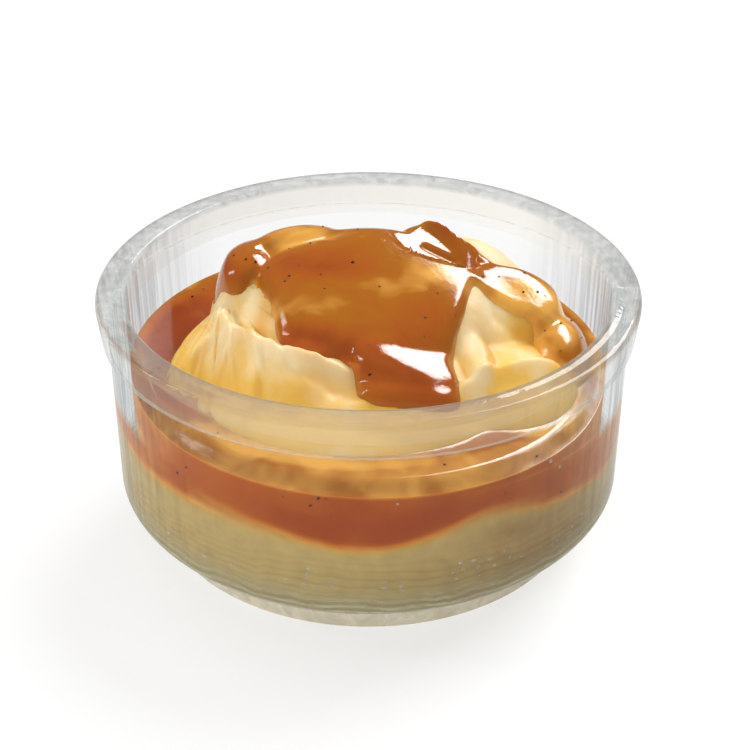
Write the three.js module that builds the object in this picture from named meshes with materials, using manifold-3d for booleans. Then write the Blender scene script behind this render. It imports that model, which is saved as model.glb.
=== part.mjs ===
// Mashed potato side: a small clear glass bowl holding a layer of mashed potato, a layer of
// gravy and a scooped mound of mash with gravy poured over it.
// Millimetres, +Z up. The origin is the middle of the bowl's underside, and -Y is its front.

import * as THREE from 'three';
import { mergeVertices } from 'three/addons/utils/BufferGeometryUtils.js';
import Module from 'manifold-3d';

// ---------------------------------------------------------------- driving dimensions

const RIM_RADIUS = 50;            // outside of the collar at the top
const BOWL_HEIGHT = 48.5;
const MOUTH_RADIUS = 44.7;        // inside of the rim
const RIM_ROUNDING = 1.1;         // outer edge of the rim
const MOUTH_ROUNDING = 0.7;       // inner edge of the rim
const COLLAR_HEIGHT = 7.0;        // thick band round the rim
const COLLAR_TAPER = 0.6;         // the collar is this much narrower at its lower edge
const COLLAR_FILLET = 0.4;        // rounding where the collar meets the wall
const WALL_TOP_RADIUS = 48.2;     // outside of the wall, just under the collar
const WALL_FOOT_RADIUS = 48.1;    // outside of the wall, above the rounded corner
const INNER_FOOT_RADIUS = 44.4;   // inside of the wall, above the inner corner
const CORNER_HEIGHT = 11;         // where the rounded outer corner ends
const CORNER_REACH = 10;           // how far the corner curves in
const CORNER_DROP = 6;         // and down, until the foot cuts it off
const FOOT_RADIUS = 41.1;
const FOOT_CHAMFER = 0.6;
const RECESS_RADIUS = 33;         // shallow hollow under the base, inside the standing ring
const RECESS_DEPTH = 0.8;
const RECESS_SLOPE = 1.2;         // width of the recess's sloping edge
const FLOOR_HEIGHT = 6;         // top of the thick glass base
const FLOOR_RADIUS = 37;          // flat part of the floor
const INNER_CORNER_HEIGHT = 12;   // where the rounded inner corner ends

const GAP = 0.3;                  // clearance kept between touching pieces
const FOOD_RADIUS = INNER_FOOT_RADIUS - GAP;
const POOL_LEVEL = 32.8;          // surface of the gravy at the axis
const POOL_TILT = -0.02;          // it stands a little higher on the left
const POOL_SHOULDER = 1.9;        // its rounded shoulder against the glass in front
const POOL_SHOULDER_START = 0.93; // share of the radius where the shoulder begins
const POOL_SHOULDER_END = 1.01;
const POOL_FRONT_END = 0.6;       // from this share towards the front it has its full depth
const MOUND_EDGE_HEIGHT = 28.2;   // lower edge of the mound, sunk in the gravy
const MOUND_SOLE_HEIGHT = 26.0;   // underside of the mound at its middle
const GRAVY_COAT = 1.0;           // thickness of the gravy that covers the mound
const GRAVY_LIP = 0.7;            // its thickness at the outline
const GRAVY_EDGE = 2.4;           // width over which the coat thickens inside the outline

const MELD = 1.6;                 // how sharply neighbouring scoops meet, per millimetre
const CUT_MELD = 3.0;             // the same at the edges of the spoon's cuts
const FOLD_FADE_OUT = 0.12;       // a fold fades from this share of its length past its end
const FOLD_FADE_IN = 0.18;        // to this share inside it
const MOUND_CORE_RADIUS = 25;     // the mound's edge lies further out than this
const SOLE_RISE = 1.3;            // how far the sole rises towards the mound's edge

// ---------------------------------------------------------------- how finely it is faceted

const BOWL_SIDES = 60;
const FOOD_SIDES = 68;
const LAYER_RINGS = [0.3, 0.55, 0.78, 0.93, 1];
const SOLE_RINGS = [0.4, 0.75, 0.96];
const MOUND_RINGS = 17;
const MOUND_RING_SPREAD = 1.25;   // over 1, the rings lie closer together near the edge
const DROP_SIDES = 22;
const DROP_RINGS = 12;
const EDGE_STEPS = 3;             // points for each stretch of the gravy's outline
const HALVINGS = 30;

// ---------------------------------------------------------------- the food's forms

// The mound is scoops of mash side by side. Each is a rounded hump: middle, half widths,
// turn in degrees, height of its top, lean to the right and to the back, drop at its half
// width and roundness of its shoulder.
const SCOOPS = [
  // body
  { x: 2.5, y: 0, wide: 35.5, deep: 33, turn: 0, top: 41, leanX: 0, leanY: 0, drop: 10, power: 3 },
  // sheet slope
  {
    x: 0.4, y: -0.5, wide: 23, deep: 18, turn: 0, top: 48.3,
    leanX: -0.02, leanY: 0.28, drop: 5, power: 6,
  },
  // shelf
  {
    x: 8.4, y: -17, wide: 12.4, deep: 8.5, turn: -4, top: 41.2,
    leanX: -0.27, leanY: 0.22, drop: 5, power: 5,
  },
  // peak
  { x: 11.6, y: 15.5, wide: 11.5, deep: 12, turn: 0, top: 50.4, leanX: 0, leanY: 0, drop: 10, power: 2.2 },
  // back lobe
  {
    x: -13, y: 13.5, wide: 13, deep: 7.5, turn: 6, top: 50.6,
    leanX: 0.04, leanY: 0.12, drop: 8, power: 3,
  },
  // left lobe
  {
    x: -22.6, y: 8.5, wide: 6.6, deep: 11, turn: -8, top: 48.8,
    leanX: 0.1, leanY: 0.08, drop: 7, power: 2.6,
  },
  // right tongue
  {
    x: 27.2, y: 3.2, wide: 10, deep: 9, turn: -12, top: 44.2,
    leanX: -0.28, leanY: 0.23, drop: 5, power: 6,
  },
  // back right
  {
    x: 24, y: 13.5, wide: 12, deep: 9, turn: -20, top: 47.2,
    leanX: -0.5, leanY: 0.1, drop: 8, power: 2.6,
  },
  // under the front tongue
  { x: 7, y: -26, wide: 12, deep: 9, turn: 0, top: 38.2, leanX: -0.08, leanY: 0.42, drop: 5, power: 3 },
  // right-lower flat
  {
    x: 24.5, y: -13.5, wide: 13, deep: 14, turn: 0, top: 38.4,
    leanX: -0.05, leanY: 0.16, drop: 5, power: 3,
  },
  // right facet
  {
    x: 22.5, y: -2.5, wide: 7, deep: 6.5, turn: -30, top: 42.4,
    leanX: -0.2, leanY: 0.25, drop: 4, power: 4,
  },
  // curl
  {
    x: 19.4, y: -13.6, wide: 3.9, deep: 8, turn: 8, top: 41.3,
    leanX: -0.14, leanY: 0.24, drop: 6, power: 4,
  },
  // shoulder behind the crest
  {
    x: -13.5, y: -12.5, wide: 15.5, deep: 14, turn: -30, top: 42.3,
    leanX: 0, leanY: 0.03, drop: 6, power: 4,
  },
  // skirt
  { x: -4, y: -19.5, wide: 25, deep: 21, turn: 0, top: 39, leanX: 0, leanY: 0.24, drop: 5, power: 3 },
  // left flank
  { x: -26.5, y: -3, wide: 9.5, deep: 17, turn: -25, top: 41, leanX: 0, leanY: 0.1, drop: 8, power: 2.6 },
];

// Flat cuts of the spoon: where each lies and the plane that it leaves; it rises outside them.
const CUTS = [
  // facet of the peak
  {
    x: 11.2, y: 12.2, wide: 11, deep: 6.6, turn: -33, top: 47.8, leanX: -0.33, leanY: 0.27,
    drop: -3, power: 8,
  },
];

// Folds left by the spoon: each runs from one point to another, bowed to its left, with a
// height (a furrow where it is negative) and a width on its left and on its right.
const FOLDS = [
  // crest
  { from: [-28, 2.5], to: [-3.6, -20.5], bow: -7, height: 2.6, left: 2, right: 2.2 },
  { from: [-26.5, -3.5], to: [-34, -13], bow: 0.8, height: 1.2, left: 1.1, right: 1.4 },
  { from: [-25, -6.5], to: [-30, -21], bow: 1.2, height: 1.3, left: 1.1, right: 1.5 },
  { from: [-22, -11], to: [-21.5, -27], bow: 1.8, height: 1.1, left: 1.2, right: 1.8 },
  // ripple on the right
  { from: [15.5, -22.5], to: [37, -12], bow: 1.6, height: 2.2, left: 1.3, right: 2.4 },
  // ledge
  { from: [-14, -23], to: [0, -27], bow: -1, height: 0.9, left: 1.8, right: 2.4 },
  // furrow
  { from: [-17, 3.5], to: [-1, 6], bow: 1, height: -1.4, left: 2, right: 2.6 },
];

// Outline of the gravy on the mound, counter-clockwise from above: the right tongue, the
// back with its own tongue, the left lobe, the edge along the front left crest and the
// broad tongue down the front.
const GRAVY_OUTLINE = [
  [20, 0.8], [22.5, -0.8], [26.5, -3], [30, -3.4], [32, -8], [37, -10.5], [41, -6], [41.5, 3],
  [36, 7.4], [29.5, 9.6], [25, 9.8], [21.8, 11.4], [18.2, 15.4], [13.6, 20.2], [7, 19.6],
  [0, 19.5], [-4.5, 22], [-6, 36.5], [-12.5, 36], [-14, 23], [-22, 18.5], [-28.5, 12],
  [-29.6, 6], [-27, 1.6], [-23.8, 0.6], [-21.5, 2.2], [-20, -0.5], [-17.6, -6.5], [-16, -13.5],
  [-13, -17.6], [-9.2, -19.4], [-5.6, -17.6], [-3.6, -18.8], [-2.4, -22.4], [-1.4, -25.6],
  [2, -27.2], [7, -27.6], [13, -27.2], [16, -25], [16.6, -21.5], [15.3, -17], [15.8, -12],
  [17.6, -6.5], [18.8, -1.5],
];

// Where the gravy lies thicker on the mound: middle, half widths, turn and extra thickness.
const THICK_SPOTS = [
  { x: -10, y: -15, wide: 8, deep: 4, turn: -25, extra: 0.5 },
  { x: 8, y: -20, wide: 9, deep: 5, turn: 0, extra: 0.5 },
  { x: 30.5, y: 5, wide: 6, deep: 5, turn: -30, extra: 1 },
  { x: 7, y: -29, wide: 8, deep: 8, turn: 0, extra: 0.6 },
  { x: -24, y: 7, wide: 6, deep: 8, turn: 0, extra: 0.6 },
];

// Fat drop at the foot of the right tongue, half sunk in the pool.
const DROP = { x: 35.2, y: -2.4, z: 32.4, wide: 6.2, deep: 10.8, tall: 8, turn: -4 };

// How the lower mash stands against the glass: bearing in degrees, width and rise.
const BASE_TOP = 22;
const BASE_WAVES = [
  { bearing: -92, width: 17, rise: -2.3 },
  { bearing: -62, width: 11, rise: 2.6 },
  { bearing: -22, width: 16, rise: -2.6 },
  { bearing: -135, width: 22, rise: 1.4 },
  { bearing: -165, width: 14, rise: 2.4 },
  { bearing: 40, width: 26, rise: 1.6 },
  { bearing: 95, width: 22, rise: -1.5 },
  { bearing: 140, width: 18, rise: 1.3 },
];

const glass = new THREE.MeshStandardMaterial({
  color: 0xe9eef0,
  roughness: 0.03,
  metalness: 0,
  transparent: true,
  opacity: 0.3,
});
const mash = new THREE.MeshStandardMaterial({ color: 0xf0dca0, roughness: 0.55, metalness: 0 });
const gravy = new THREE.MeshStandardMaterial({ color: 0xb25a1c, roughness: 0.15, metalness: 0 });

// ---------------------------------------------------------------- surfaces as formulas

const radians = THREE.MathUtils.degToRad;

/** Coordinates of (x, y) in a frame at a feature's middle, turned with it. */
function local(x, y, feature) {
  const c = Math.cos(radians(feature.turn));
  const s = Math.sin(radians(feature.turn));
  const dx = x - feature.x;
  const dy = y - feature.y;
  return [(dx * c + dy * s) / feature.wide, (dy * c - dx * s) / feature.deep];
}

/** Height that one fold adds at (x, y). */
function foldHeight(x, y, fold) {
  const dx = fold.to[0] - fold.from[0];
  const dy = fold.to[1] - fold.from[1];
  const length = Math.hypot(dx, dy);
  const along = ((x - fold.from[0]) * dx + (y - fold.from[1]) * dy) / length;
  const across = ((y - fold.from[1]) * dx - (x - fold.from[0]) * dy) / length;
  const t = along / length;
  const middle = THREE.MathUtils.clamp(t, 0, 1);
  const offset = across - 4 * fold.bow * middle * (1 - middle);
  const width = offset > 0 ? fold.left : fold.right;
  const start = THREE.MathUtils.smoothstep(t, -FOLD_FADE_OUT, FOLD_FADE_IN);
  const end = 1 - THREE.MathUtils.smoothstep(t, 1 - FOLD_FADE_IN, 1 + FOLD_FADE_OUT);
  return fold.height * Math.exp(-((offset / width) ** 2)) * start * end;
}

/** The highest of several heights, rounded where they cross. */
function melded(heights, sharpness) {
  const highest = Math.max(...heights);
  const sum = heights.reduce((total, h) => total + Math.exp(sharpness * (h - highest)), 0);
  return highest + Math.log(sum) / sharpness;
}

/** Height of one scoop, or of one cut, whose drop is negative. */
function scoopHeight(x, y, scoop) {
  const [u, v] = local(x, y, scoop);
  const lean = scoop.leanX * (x - scoop.x) + scoop.leanY * (y - scoop.y);
  return scoop.top + lean - scoop.drop * Math.hypot(u, v) ** scoop.power;
}

/** The mound without its folds: the scoops melded together, less the cuts. */
function bodyHeight(x, y) {
  const heaped = melded(SCOOPS.map((scoop) => scoopHeight(x, y, scoop)), MELD);
  return -melded([-heaped, ...CUTS.map((cut) => -scoopHeight(x, y, cut))], CUT_MELD);
}

/** Top surface of the mound, with its folds. */
function moundHeight(x, y) {
  return FOLDS.reduce((sum, fold) => sum + foldHeight(x, y, fold), bodyHeight(x, y));
}

/** Surface of the gravy pool, rounded off against the glass in front. */
function poolHeight(x, y) {
  const out = Math.hypot(x, y) / FOOD_RADIUS;
  const near = THREE.MathUtils.smoothstep(out, POOL_SHOULDER_START, POOL_SHOULDER_END);
  const front = THREE.MathUtils.smoothstep(-y / FOOD_RADIUS, 0, POOL_FRONT_END);
  return POOL_LEVEL + POOL_TILT * x - POOL_SHOULDER * near * front;
}

/** Top surface of the lower mash: its waves show at the glass and fade inwards. */
function baseHeight(x, y) {
  const bearing = THREE.MathUtils.radToDeg(Math.atan2(y, x));
  const reach = Math.min(Math.hypot(x, y) / FOOD_RADIUS, 1) ** 2;
  let rise = 0;
  for (const wave of BASE_WAVES) {
    const turn = ((bearing - wave.bearing + 540) % 360) - 180;
    rise += wave.rise * Math.exp(-((turn / wave.width) ** 2));
  }
  return BASE_TOP + rise * reach;
}

/** Closed smooth curve through the outline's points. */
function outlinePoints() {
  const corners = GRAVY_OUTLINE.map(([x, y]) => new THREE.Vector3(x, y, 0));
  const curve = new THREE.CatmullRomCurve3(corners, true, 'catmullrom', 0.5);
  const count = corners.length * EDGE_STEPS;
  return Array.from({ length: count }, (_, i) => curve.getPoint(i / count));
}

/** How far (x, y) lies inside the outline: 0 on it and outside. */
function insetDepth(x, y, outline) {
  let nearest = Infinity;
  let inside = false;
  outline.forEach((a, i) => {
    const b = outline[(i + 1) % outline.length];
    const ex = b.x - a.x;
    const ey = b.y - a.y;
    const t = ((x - a.x) * ex + (y - a.y) * ey) / (ex * ex + ey * ey);
    const k = THREE.MathUtils.clamp(t, 0, 1);
    nearest = Math.min(nearest, Math.hypot(x - a.x - k * ex, y - a.y - k * ey));
    if (a.y > y !== b.y > y && x < a.x + (ex * (y - a.y)) / ey) {
      inside = !inside;
    }
  });
  return inside ? nearest : 0;
}

/** Thickness of the gravy on the mound: full inside, thinner at the outline. */
function coatThickness(x, y, outline) {
  let full = GRAVY_COAT;
  for (const spot of THICK_SPOTS) {
    const [u, v] = local(x, y, spot);
    full += spot.extra * Math.exp(-(u * u + v * v));
  }
  const inset = Math.min(insetDepth(x, y, outline) / GRAVY_EDGE, 1);
  return GRAVY_LIP + (full - GRAVY_LIP) * Math.sqrt(1 - (1 - inset) ** 2);
}

// ---------------------------------------------------------------- closed shells

/** Closed shell from a first pole, rings of equal length going outwards and up, and a last pole. */
function shell(firstPole, rings, lastPole) {
  const sides = rings[0].length;
  const positions = [firstPole, ...rings.flat(), lastPole].flat();
  const last = positions.length / 3 - 1;
  const indices = [];
  for (let i = 0; i < sides; i += 1) {
    const j = (i + 1) % sides;
    indices.push(0, 1 + j, 1 + i);
    for (let k = 0; k + 1 < rings.length; k += 1) {
      const low = 1 + k * sides;
      const high = low + sides;
      indices.push(low + i, low + j, high + j);
      indices.push(low + i, high + j, high + i);
    }
    const top = 1 + (rings.length - 1) * sides;
    indices.push(top + i, top + j, last);
  }
  const geometry = new THREE.BufferGeometry();
  geometry.setAttribute('position', new THREE.Float32BufferAttribute(positions, 3));
  geometry.setIndex(indices);
  return geometry;
}

/** Ring of points at the food's bearings, from a radius and a height for each bearing. */
function ring(radiusAt, heightAt) {
  return Array.from({ length: FOOD_SIDES }, (_, i) => {
    const bearing = (2 * Math.PI * i) / FOOD_SIDES;
    const radius = radiusAt(bearing);
    const x = radius * Math.cos(bearing);
    const y = radius * Math.sin(bearing);
    return [x, y, heightAt(x, y)];
  });
}

/** Rings over a height field at fractions of the food's radius. */
function fieldRings(fractions, heightAt) {
  return fractions.map((part) => ring(() => part * FOOD_RADIUS, heightAt));
}

/** Quarter of an ellipse in the profile's plane, from one bearing to another in degrees. */
function profileArc(centreX, centreY, radiusX, radiusY, start, end, steps) {
  return Array.from({ length: steps + 1 }, (_, i) => {
    const angle = radians(start + ((end - start) * i) / steps);
    return new THREE.Vector2(centreX + radiusX * Math.cos(angle), centreY + radiusY * Math.sin(angle));
  });
}

// ---------------------------------------------------------------- joining and cutting

const wasm = await Module();
wasm.setup();

/** Solid for joining and cutting, from a closed three.js geometry. */
function solidOf(geometry) {
  const bare = geometry.clone();
  bare.deleteAttribute('normal');
  bare.deleteAttribute('uv');
  const merged = mergeVertices(bare);
  const mesh = new wasm.Mesh({
    numProp: 3,
    vertProperties: new Float32Array(merged.attributes.position.array),
    triVerts: new Uint32Array(merged.index.array),
  });
  return new wasm.Manifold(mesh);
}

/** three.js geometry from a joined or cut solid. */
function geometryOf(solid) {
  const mesh = solid.getMesh();
  const geometry = new THREE.BufferGeometry();
  geometry.setAttribute('position', new THREE.BufferAttribute(mesh.vertProperties, 3));
  geometry.setIndex(new THREE.BufferAttribute(mesh.triVerts, 1));
  return geometry;
}

/** The largest body of a cut solid, without the loose scraps. */
function mainBody(solid) {
  const bodies = solid.decompose();
  return bodies.reduce((a, b) => (b.volume() > a.volume() ? b : a));
}

/** Copy of a closed geometry swollen along its normals by a distance that depends on (x, y). */
function swollen(geometry, distanceAt) {
  const grown = geometry.clone();
  grown.computeVertexNormals();
  const { position, normal } = grown.attributes;
  const point = new THREE.Vector3();
  const outward = new THREE.Vector3();
  for (let i = 0; i < position.count; i += 1) {
    point.fromBufferAttribute(position, i);
    outward.fromBufferAttribute(normal, i);
    point.addScaledVector(outward, distanceAt(point.x, point.y));
    position.setXYZ(i, point.x, point.y, point.z);
  }
  return grown;
}

// ---------------------------------------------------------------- pieces

/** Pressed glass bowl: standing ring, thick base, rounded corner, straight wall and collar. */
function bowlGeometry() {
  const collarFoot = BOWL_HEIGHT - COLLAR_HEIGHT;
  const cornerMiddle = WALL_FOOT_RADIUS - CORNER_REACH;
  const cornerStart = Math.acos((FOOT_RADIUS - cornerMiddle) / CORNER_REACH);
  const outerCorner = profileArc(
    cornerMiddle, CORNER_HEIGHT, CORNER_REACH, CORNER_DROP,
    -THREE.MathUtils.radToDeg(cornerStart), 0, 6,
  );
  const innerCorner = profileArc(
    FLOOR_RADIUS, INNER_CORNER_HEIGHT, INNER_FOOT_RADIUS - FLOOR_RADIUS,
    INNER_CORNER_HEIGHT - FLOOR_HEIGHT, 0, -90, 5,
  );
  const collarRadius = RIM_RADIUS - COLLAR_TAPER;
  const rimEdge = profileArc(
    RIM_RADIUS - RIM_ROUNDING, BOWL_HEIGHT - RIM_ROUNDING, RIM_ROUNDING, RIM_ROUNDING, 0, 90, 3,
  );
  const mouthEdge = profileArc(
    MOUTH_RADIUS + MOUTH_ROUNDING, BOWL_HEIGHT - MOUTH_ROUNDING, MOUTH_ROUNDING, MOUTH_ROUNDING,
    90, 180, 2,
  );
  const profile = [
    new THREE.Vector2(0, RECESS_DEPTH),
    new THREE.Vector2(RECESS_RADIUS, RECESS_DEPTH),
    new THREE.Vector2(RECESS_RADIUS + RECESS_SLOPE, 0),
    new THREE.Vector2(FOOT_RADIUS - FOOT_CHAMFER, 0),
    new THREE.Vector2(FOOT_RADIUS, FOOT_CHAMFER),
    ...outerCorner,
    new THREE.Vector2(WALL_TOP_RADIUS, collarFoot - 2 * COLLAR_FILLET),
    new THREE.Vector2(WALL_TOP_RADIUS + COLLAR_FILLET, collarFoot),
    new THREE.Vector2(collarRadius - COLLAR_FILLET, collarFoot),
    new THREE.Vector2(collarRadius, collarFoot + COLLAR_FILLET),
    ...rimEdge,
    ...mouthEdge,
    ...innerCorner,
    new THREE.Vector2(0, FLOOR_HEIGHT),
  ];
  return new THREE.LatheGeometry(profile, BOWL_SIDES).rotateX(Math.PI / 2);
}

/** Lower helping of mash: fills the bottom of the bowl, with a wavy top. */
function mashBaseGeometry() {
  const floor = FLOOR_HEIGHT + GAP;
  const corner = profileArc(
    FLOOR_RADIUS - GAP, INNER_CORNER_HEIGHT, FOOD_RADIUS - FLOOR_RADIUS + GAP,
    INNER_CORNER_HEIGHT - floor, -90, 0, 4,
  );
  const rings = corner.map((point) => ring(() => point.x, () => point.y));
  rings.push(...fieldRings([...LAYER_RINGS].reverse(), baseHeight));
  return shell([0, 0, floor], rings, [0, 0, baseHeight(0, 0)]);
}

/** Radius at which a surface comes down to the mound's lower edge, found by halving. */
function edgeRadius(bearing, heightAt) {
  let near = MOUND_CORE_RADIUS;
  let far = FOOD_RADIUS;
  for (let i = 0; i < HALVINGS; i += 1) {
    const middle = (near + far) / 2;
    if (heightAt(middle * Math.cos(bearing), middle * Math.sin(bearing)) > MOUND_EDGE_HEIGHT) {
      near = middle;
    } else {
      far = middle;
    }
  }
  return near;
}

/** Mound of mash under a surface: a shallow rounded sole and that surface over it. */
function moundGeometry(heightAt) {
  const soles = SOLE_RINGS.map((part) => ring(
    (bearing) => part * edgeRadius(bearing, heightAt),
    () => MOUND_SOLE_HEIGHT + SOLE_RISE * part * part,
  ));
  const tops = Array.from({ length: MOUND_RINGS }, (_, i) => {
    const part = 1 - (i / MOUND_RINGS) ** MOUND_RING_SPREAD;
    return ring((bearing) => part * edgeRadius(bearing, heightAt), heightAt);
  });
  return shell([0, 0, MOUND_SOLE_HEIGHT], [...soles, ...tops], [0, 0, heightAt(0, 0)]);
}

/** Layer of gravy from wall to wall, up to its level, with the sunk mound cut out of it. */
function gravyLayerGeometry(clearance) {
  const under = fieldRings(LAYER_RINGS, (x, y) => baseHeight(x, y) + GAP);
  const over = fieldRings([...LAYER_RINGS].reverse(), poolHeight);
  const full = shell([0, 0, baseHeight(0, 0) + GAP], [...under, ...over], [0, 0, POOL_LEVEL]);
  return geometryOf(solidOf(full).subtract(clearance));
}

/** Gravy poured over the mound, with its fat drop, cut off by the mound and the pool. */
function gravyToppingGeometry(clearance) {
  const outline = outlinePoints();
  const body = moundGeometry(bodyHeight);
  const coat = solidOf(swollen(body, (x, y) => coatThickness(x, y, outline)));
  const shape = new THREE.Shape(outline);
  const column = new THREE.ExtrudeGeometry(shape, { depth: 2 * BOWL_HEIGHT, bevelEnabled: false });
  const drop = new THREE.SphereGeometry(1, DROP_SIDES, DROP_RINGS)
    .scale(DROP.wide, DROP.deep, DROP.tall)
    .rotateZ(radians(DROP.turn))
    .translate(DROP.x, DROP.y, DROP.z);
  const far = () => RIM_RADIUS;
  const sunk = [ring(far, () => 0), ring(far, (x) => POOL_LEVEL + POOL_TILT * x + GAP)];
  const pool = shell([0, 0, 0], sunk, [0, 0, POOL_LEVEL + GAP]);
  const poured = coat.intersect(solidOf(column)).add(solidOf(drop));
  return geometryOf(mainBody(poured.subtract(clearance).subtract(solidOf(pool))));
}

// ---------------------------------------------------------------- assembly

const side = new THREE.Group();

/** Adds one named piece to the dish. */
function addPiece(name, geometry, material) {
  const piece = new THREE.Mesh(geometry, material);
  piece.name = name;
  side.add(piece);
}

const mound = moundGeometry(moundHeight);
const clearance = solidOf(swollen(mound, () => GAP));
addPiece('bowl', bowlGeometry(), glass);
addPiece('mash_base', mashBaseGeometry(), mash);
addPiece('gravy_layer', gravyLayerGeometry(clearance), gravy);
addPiece('mash_mound', mound, mash);
addPiece('gravy_topping', gravyToppingGeometry(clearance), gravy);

export default side;
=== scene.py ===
"""Mashed potato side: a small clear glass bowl of mashed potato, with a layer of brown gravy
and more gravy poured over a scooped mound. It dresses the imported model, with +Z up and -Y in
front. Blender works in metres; the forms below are in millimetres and turned to metres last."""

import math
import random
from collections import namedtuple
from functools import partial

import bpy
import numpy as np
from bpy.props import FloatProperty, FloatVectorProperty, IntProperty, PointerProperty
from mathutils import Euler, Matrix, Vector


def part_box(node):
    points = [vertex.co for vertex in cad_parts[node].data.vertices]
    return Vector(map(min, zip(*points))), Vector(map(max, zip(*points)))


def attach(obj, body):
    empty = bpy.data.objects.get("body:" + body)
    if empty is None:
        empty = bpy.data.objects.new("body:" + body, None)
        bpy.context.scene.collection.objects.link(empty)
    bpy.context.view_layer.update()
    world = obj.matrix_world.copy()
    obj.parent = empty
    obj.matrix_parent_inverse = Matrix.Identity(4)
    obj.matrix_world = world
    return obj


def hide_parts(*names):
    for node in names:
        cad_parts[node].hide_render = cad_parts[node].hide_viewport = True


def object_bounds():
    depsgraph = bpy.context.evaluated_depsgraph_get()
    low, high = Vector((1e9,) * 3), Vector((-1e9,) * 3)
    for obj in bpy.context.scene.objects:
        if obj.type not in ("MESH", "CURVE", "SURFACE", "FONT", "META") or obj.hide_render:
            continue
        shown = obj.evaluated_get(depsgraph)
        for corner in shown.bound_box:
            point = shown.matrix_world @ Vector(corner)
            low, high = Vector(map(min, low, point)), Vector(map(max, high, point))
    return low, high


bl_info = {
    "name": "Mashed Potato Side",
    "version": (1, 0, 0),
    "blender": (4, 5, 0),
    "location": "View3D > Sidebar > Potato Side",
    "description": "Dresses a glass bowl of mashed potato and gravy",
    "category": "Object",
}

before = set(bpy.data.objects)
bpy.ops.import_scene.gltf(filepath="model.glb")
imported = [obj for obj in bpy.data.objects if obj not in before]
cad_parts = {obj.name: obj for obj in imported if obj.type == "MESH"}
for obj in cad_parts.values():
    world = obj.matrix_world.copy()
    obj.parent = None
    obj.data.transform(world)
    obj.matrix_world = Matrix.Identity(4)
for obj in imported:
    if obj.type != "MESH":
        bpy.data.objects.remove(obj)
CAD_LOW, CAD_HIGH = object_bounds()
MM = 0.001
WHITE = (1.0, 1.0, 1.0)


def linear(hex_colour):
    """Linear RGB from an sRGB hex colour."""
    values = [int(hex_colour[i:i + 2], 16) / 255 for i in (1, 3, 5)]
    return tuple(v / 12.92 if v <= 0.04045 else ((v + 0.055) / 1.055) ** 2.4 for v in values)


# ------------------------------------------------------------------ the bowl's sizes, in mm

RIM_RADIUS = CAD_HIGH.x / MM
BOWL_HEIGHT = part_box("bowl")[1].z / MM
MOUTH_RADIUS = 44.7
RIM_ROUNDING = 1.1
MOUTH_ROUNDING = 0.7
COLLAR_HEIGHT = 7.0
GROOVE_RADIUS = 46.9    # shallow groove round the top of the rim
GROOVE_WIDTH = 0.9
GROOVE_DEPTH = 0.16
COLLAR_TAPER = 0.6
COLLAR_FILLET = 0.4
WALL_TOP_RADIUS = 48.2
WALL_FOOT_RADIUS = 48.1
INNER_FOOT_RADIUS = 44.4
CORNER_HEIGHT = 11.0
CORNER_REACH = 10.0     # how far the outer corner curves in
CORNER_DROP = 6.0       # and down, until the foot cuts it off
FOOT_RADIUS = 41.1
FOOT_CHAMFER = 0.6
RECESS_RADIUS = 33.0
RECESS_DEPTH = 0.8
RECESS_SLOPE = 1.2
FLOOR_HEIGHT = 6.0
FLOOR_RADIUS = 37.0
INNER_CORNER_HEIGHT = 12.0

# ---------------------------------------------- the glass's looks, sizes in mm and shares

RIM_DEPTH = 1.4         # the rim's dapples begin this far below its top
RIM_SKIN = 0.3          # and are full from this far below it
DAPPLE_SIZE = 4.2
GLASS_STREAK_SIZE = 1.3
MOULD_LINE_SIZE = 5.0
MOULD_LINE_TOP = 22.0   # wavy lines of the mould show up to this height
FOOT_FADE_TOP = 12.0    # below this the thick base begins to show its own tint
FOOT_FADE_END = 1.5
CORNER_BEND_TOP = 18.0  # below this all the glass bends light, as it does in front of food
CORNER_HAZE_TOP = 14.5  # the corner's milky light fades in below this
CORNER_HAZE_END = 10.0
HAZE_RADIUS = FOOT_RADIUS - 1.2  # and outwards from here
FULL_HAZE_RADIUS = FOOT_RADIUS - 0.4
FOOT_TOP = 5.4          # where the foot meets the rounded corner
FULL_FOOT_HEIGHT = FOOT_TOP - 0.5  # the foot is cloudy all over below this
# The grey streaks and the rim's dapples are partly painted reflection of the darker room, so they
# are weaker in front.
FRONT_SHARE = 0.25      # in front, dapples and grey streaks have this share of their strength
THICK_BEND = 0.4        # share of the light that the rim bends
FOOT_BEND = 0.25        # and the foot, as a share of that
COLLAR_HAZE = 0.13      # share of milky light in the collar
CORNER_HAZE = 0.55      # and in the corner
GLASS_GLOSS = 0.55      # strength of the reflections

# ------------------------------------------------------------------ the food's forms, in mm

FOOD_RADIUS = INNER_FOOT_RADIUS
FOOD_SIDES = 384      # steps round each body of food
WALL_REACH = 0.12     # the food reaches this far into the glass, so that no air gap shows
POOL_LEVEL = 32.8     # surface of the gravy at the axis
POOL_TILT = -0.02     # it stands a little higher on the left
POOL_SHOULDER = 1.9   # its rounded shoulder against the glass in front
SHOULDER_RINGS = (0.93, 1.01)  # shares of the radius over which that goes down
SHOULDER_SPREAD = 0.6  # it is full this share of the radius in front of the axis
FULL_BEND_HEIGHT = POOL_LEVEL - 3.0  # food fills slanted glass out to the outline below this
MOUND_EDGE_HEIGHT = 28.2
MOUND_SOLE_HEIGHT = 26.0
SOLE_RISE = 1.3
MOUND_CORE_RADIUS = 25.0
HALVINGS = 30         # steps that find the mound's edge
SCOOP_REACH = 4.0     # a scoop's form goes down no further past this many half widths
MELD = 1.6            # how sharply neighbouring scoops of mash meet, per millimetre
CUT_MELD = 3.0        # the same at the edges of the spoon's cuts
GRAVY_MELD = 2.2      # the same for gravy that runs together
GRAVY_COAT = 1.0      # thickness of the gravy that covers the mound
GRAVY_EDGE = 2.4      # width over which the coat thickens inside its outline
GRAVY_CREEP = 0.2     # its rounded lip stands this far outside the outline
SKIN = 0.8            # outside the outline the gravy's surface lies this deep in the mash
SKIN_FLOOR = 2.6      # underside of the coat, below the mash's surface
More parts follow.
